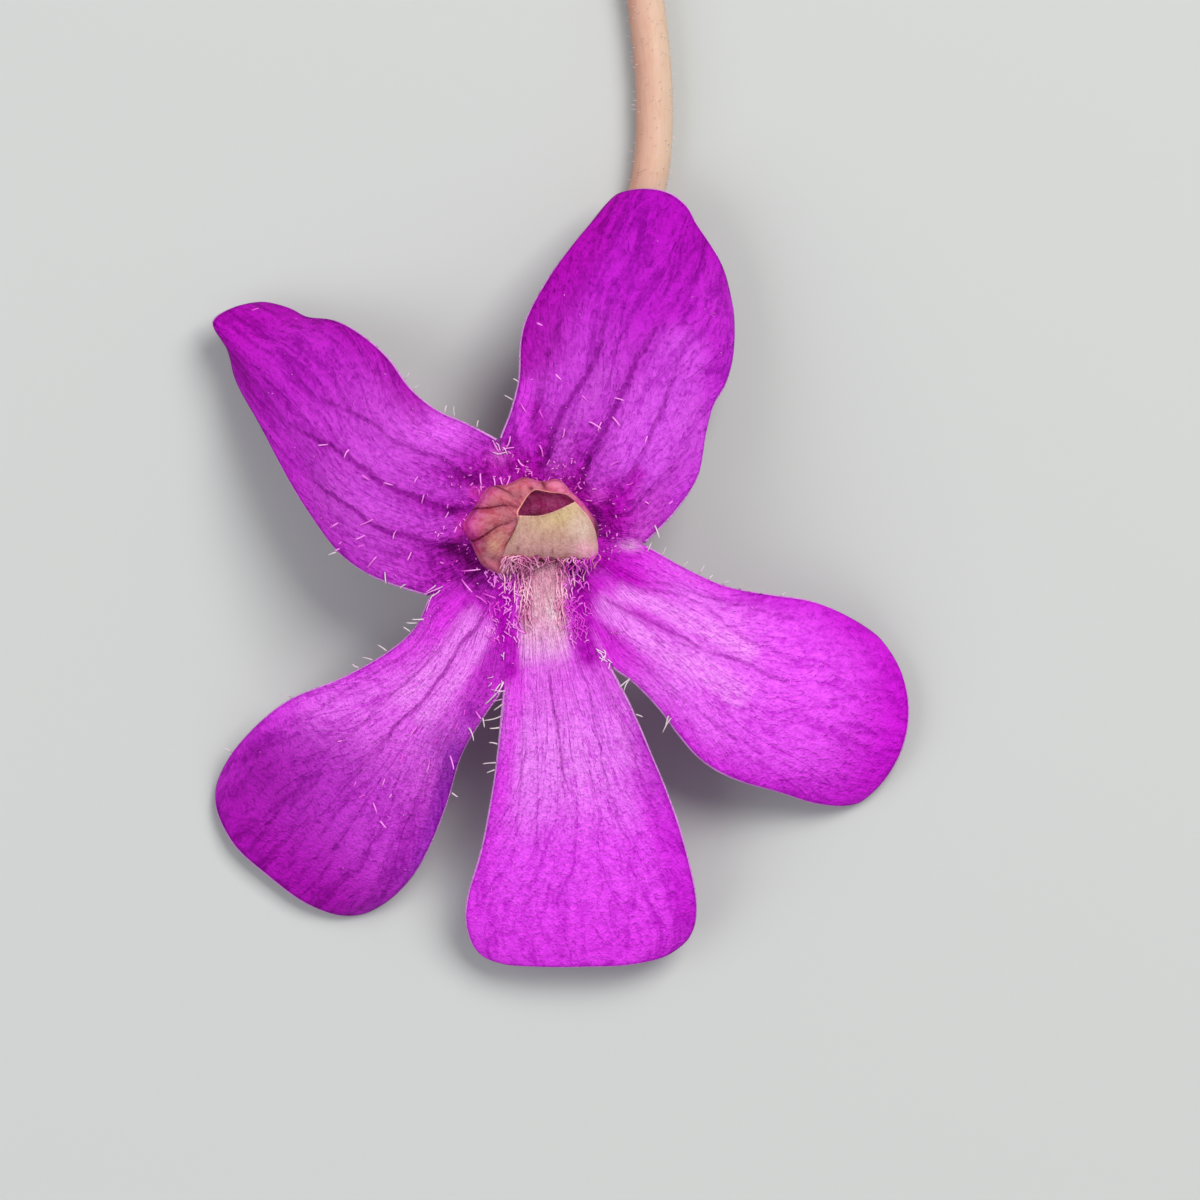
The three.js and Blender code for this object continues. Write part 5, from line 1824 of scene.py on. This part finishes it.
# %% Curly hairs beside the pale stripe, and hairs round the hood
CURLY_COUNT = 330
STUB_COUNT = 120  # short stubs on the dark skin round the hood
THROAT_HAIRS = [  # root on the plan, bearing, length
    (-2.2, 2.2, -85, 0.5), (-1.65, 2.05, -80, 0.4), (-1.35, 2.05, -75, 0.35), (-0.95, 2.1, -110, 0.45),
    (-1.4, 3.1, 120, 0.5), (-1.1, 3.3, 70, 0.5), (-1.3, 3.2, 10, 0.5), (-3.0, -1.95, 5, 0.8),
    (-3.0, -2.3, -50, 0.7), (-2.4, -3.0, -35, 0.6), (-1.9, -1.8, 140, 0.3), (-3.3, -0.3, 70, 0.25),
    (-2.1, -2.9, -20, 0.6),
]

gap_hairs = []
stripe_hairs = []
for _ in range(CURLY_COUNT):
    side = draw.choice((-1, 1))
    away = draw.random() ** 1.4
    on_stripe = away < 0.2
    x = STRIPE_X + side * (0.6 + away * (1.3 if side > 0 else 1.9))
    y = -1.5 - (2.6 if on_stripe else 3.4) * draw.random() ** 1.3
    reach = Vector((draw.gauss(0, 0.3 if on_stripe else 0.9), -1.0, draw.uniform(0.0, 0.4))).normalized()
    reach *= draw.uniform(0.2, 0.55 if on_stripe else 0.42)
    hair = (on_limb(x, y), reach, HAIR_RADIUS["curly"], bent(0.13, 0.04))
    (stripe_hairs if on_stripe else gap_hairs).append(hair)

throat_hairs = []
for _ in range(STUB_COUNT):
    foot = hood_foot(draw.uniform(-25, 235)) * (1.03 + 0.6 * draw.random() ** 1.3)
    throat_hairs.append(upright(on_limb(foot[0], foot[1]), 0.08, 0.06, 0.18, HAIR_RADIUS["stub"]))
throat_hairs += [lying_hair(*hair, 0.4, HAIR_RADIUS["lobe"]) for hair in THROAT_HAIRS]
throat_hair = hair_piece("throat_hairs", pink_hair, throat_hairs)

# %% Curly fringe below the flap
FRINGE_COUNT = 130
TUFTS = [  # root and tip on the plan
    (-0.35, -1.7, -0.3, -2.9), (-0.25, -2.6, -0.35, -3.8), (-0.45, -1.9, -0.6, -2.8),
    (-0.1, -1.9, -0.15, -2.9), (1.1, -1.7, 1.2, -2.8), (1.25, -2.3, 1.3, -3.5), (1.45, -1.6, 1.6, -2.5),
    (1.3, -3.3, 1.4, -4.3), (-0.3, -3.7, -0.25, -4.6), (1.75, -1.6, 1.8, -2.6), (2.1, -1.6, 2.2, -2.4),
    (-0.9, -1.9, -1.0, -2.7), (-1.25, -2.0, -1.15, -2.9), (-0.7, -2.3, -0.75, -3.3), (1.0, -2.0, 1.05, -3.0),
    (-0.5, -3.2, -0.6, -4.1),
]

tuft_hairs = []
for _ in range(FRINGE_COUNT):
    u = draw.choice((draw.uniform(0.02, 0.97), draw.uniform(0.02, 0.3)))
    root = flap_point(u, 0.08 * draw.random() ** 2) - Vector((0, 0, 0.02))
    longest = 0.7 if u < 0.3 or u > 0.6 else 0.4
    reach = Vector((draw.gauss(-0.02, 0.22), -draw.uniform(0.15, longest), draw.uniform(-0.2, 0.0)))
    fringe = gap_hairs if u > 0.62 and draw.random() < 0.7 else tuft_hairs
    fringe.append((root, reach, HAIR_RADIUS["fringe"], (draw.gauss(0, 0.26), 0, ARCH)))
tuft_hairs += [strand(*hair, HAIR_RADIUS["tuft"]) for hair in TUFTS]
tuft_hair = hair_piece("tuft_hairs", pale_hair, tuft_hairs + stripe_hairs, levels=6, curl=0.8)
gap_hair = hair_piece("gap_hairs", rose_hair, gap_hairs, levels=6, curl=0.8)

# %% Fine hairs on the stem
STEM_HAIR_COUNT = 900

stem_hairs = []
for _ in range(STEM_HAIR_COUNT):
    v = draw.uniform(0.05, 0.995)
    ahead = heading(SCAPE_LINE, v)
    side = Vector((-ahead[1], ahead[0], 0)).normalized()
    turn = draw.uniform(-0.35, math.pi + 0.35)
    away = side * math.cos(turn) + Vector((0, 0, 1)) * math.sin(turn)
    root = Vector(SCAPE_LINE(v)) + away * (scape_radius(v) - 0.03)
    stem_hairs.append((root, away * draw.uniform(0.12, 0.26), HAIR_RADIUS["stem"], (0, 0, -0.05)))
stem_hair = hair_piece("stem_hairs", clear_hair, stem_hairs, levels=3, sides=3)
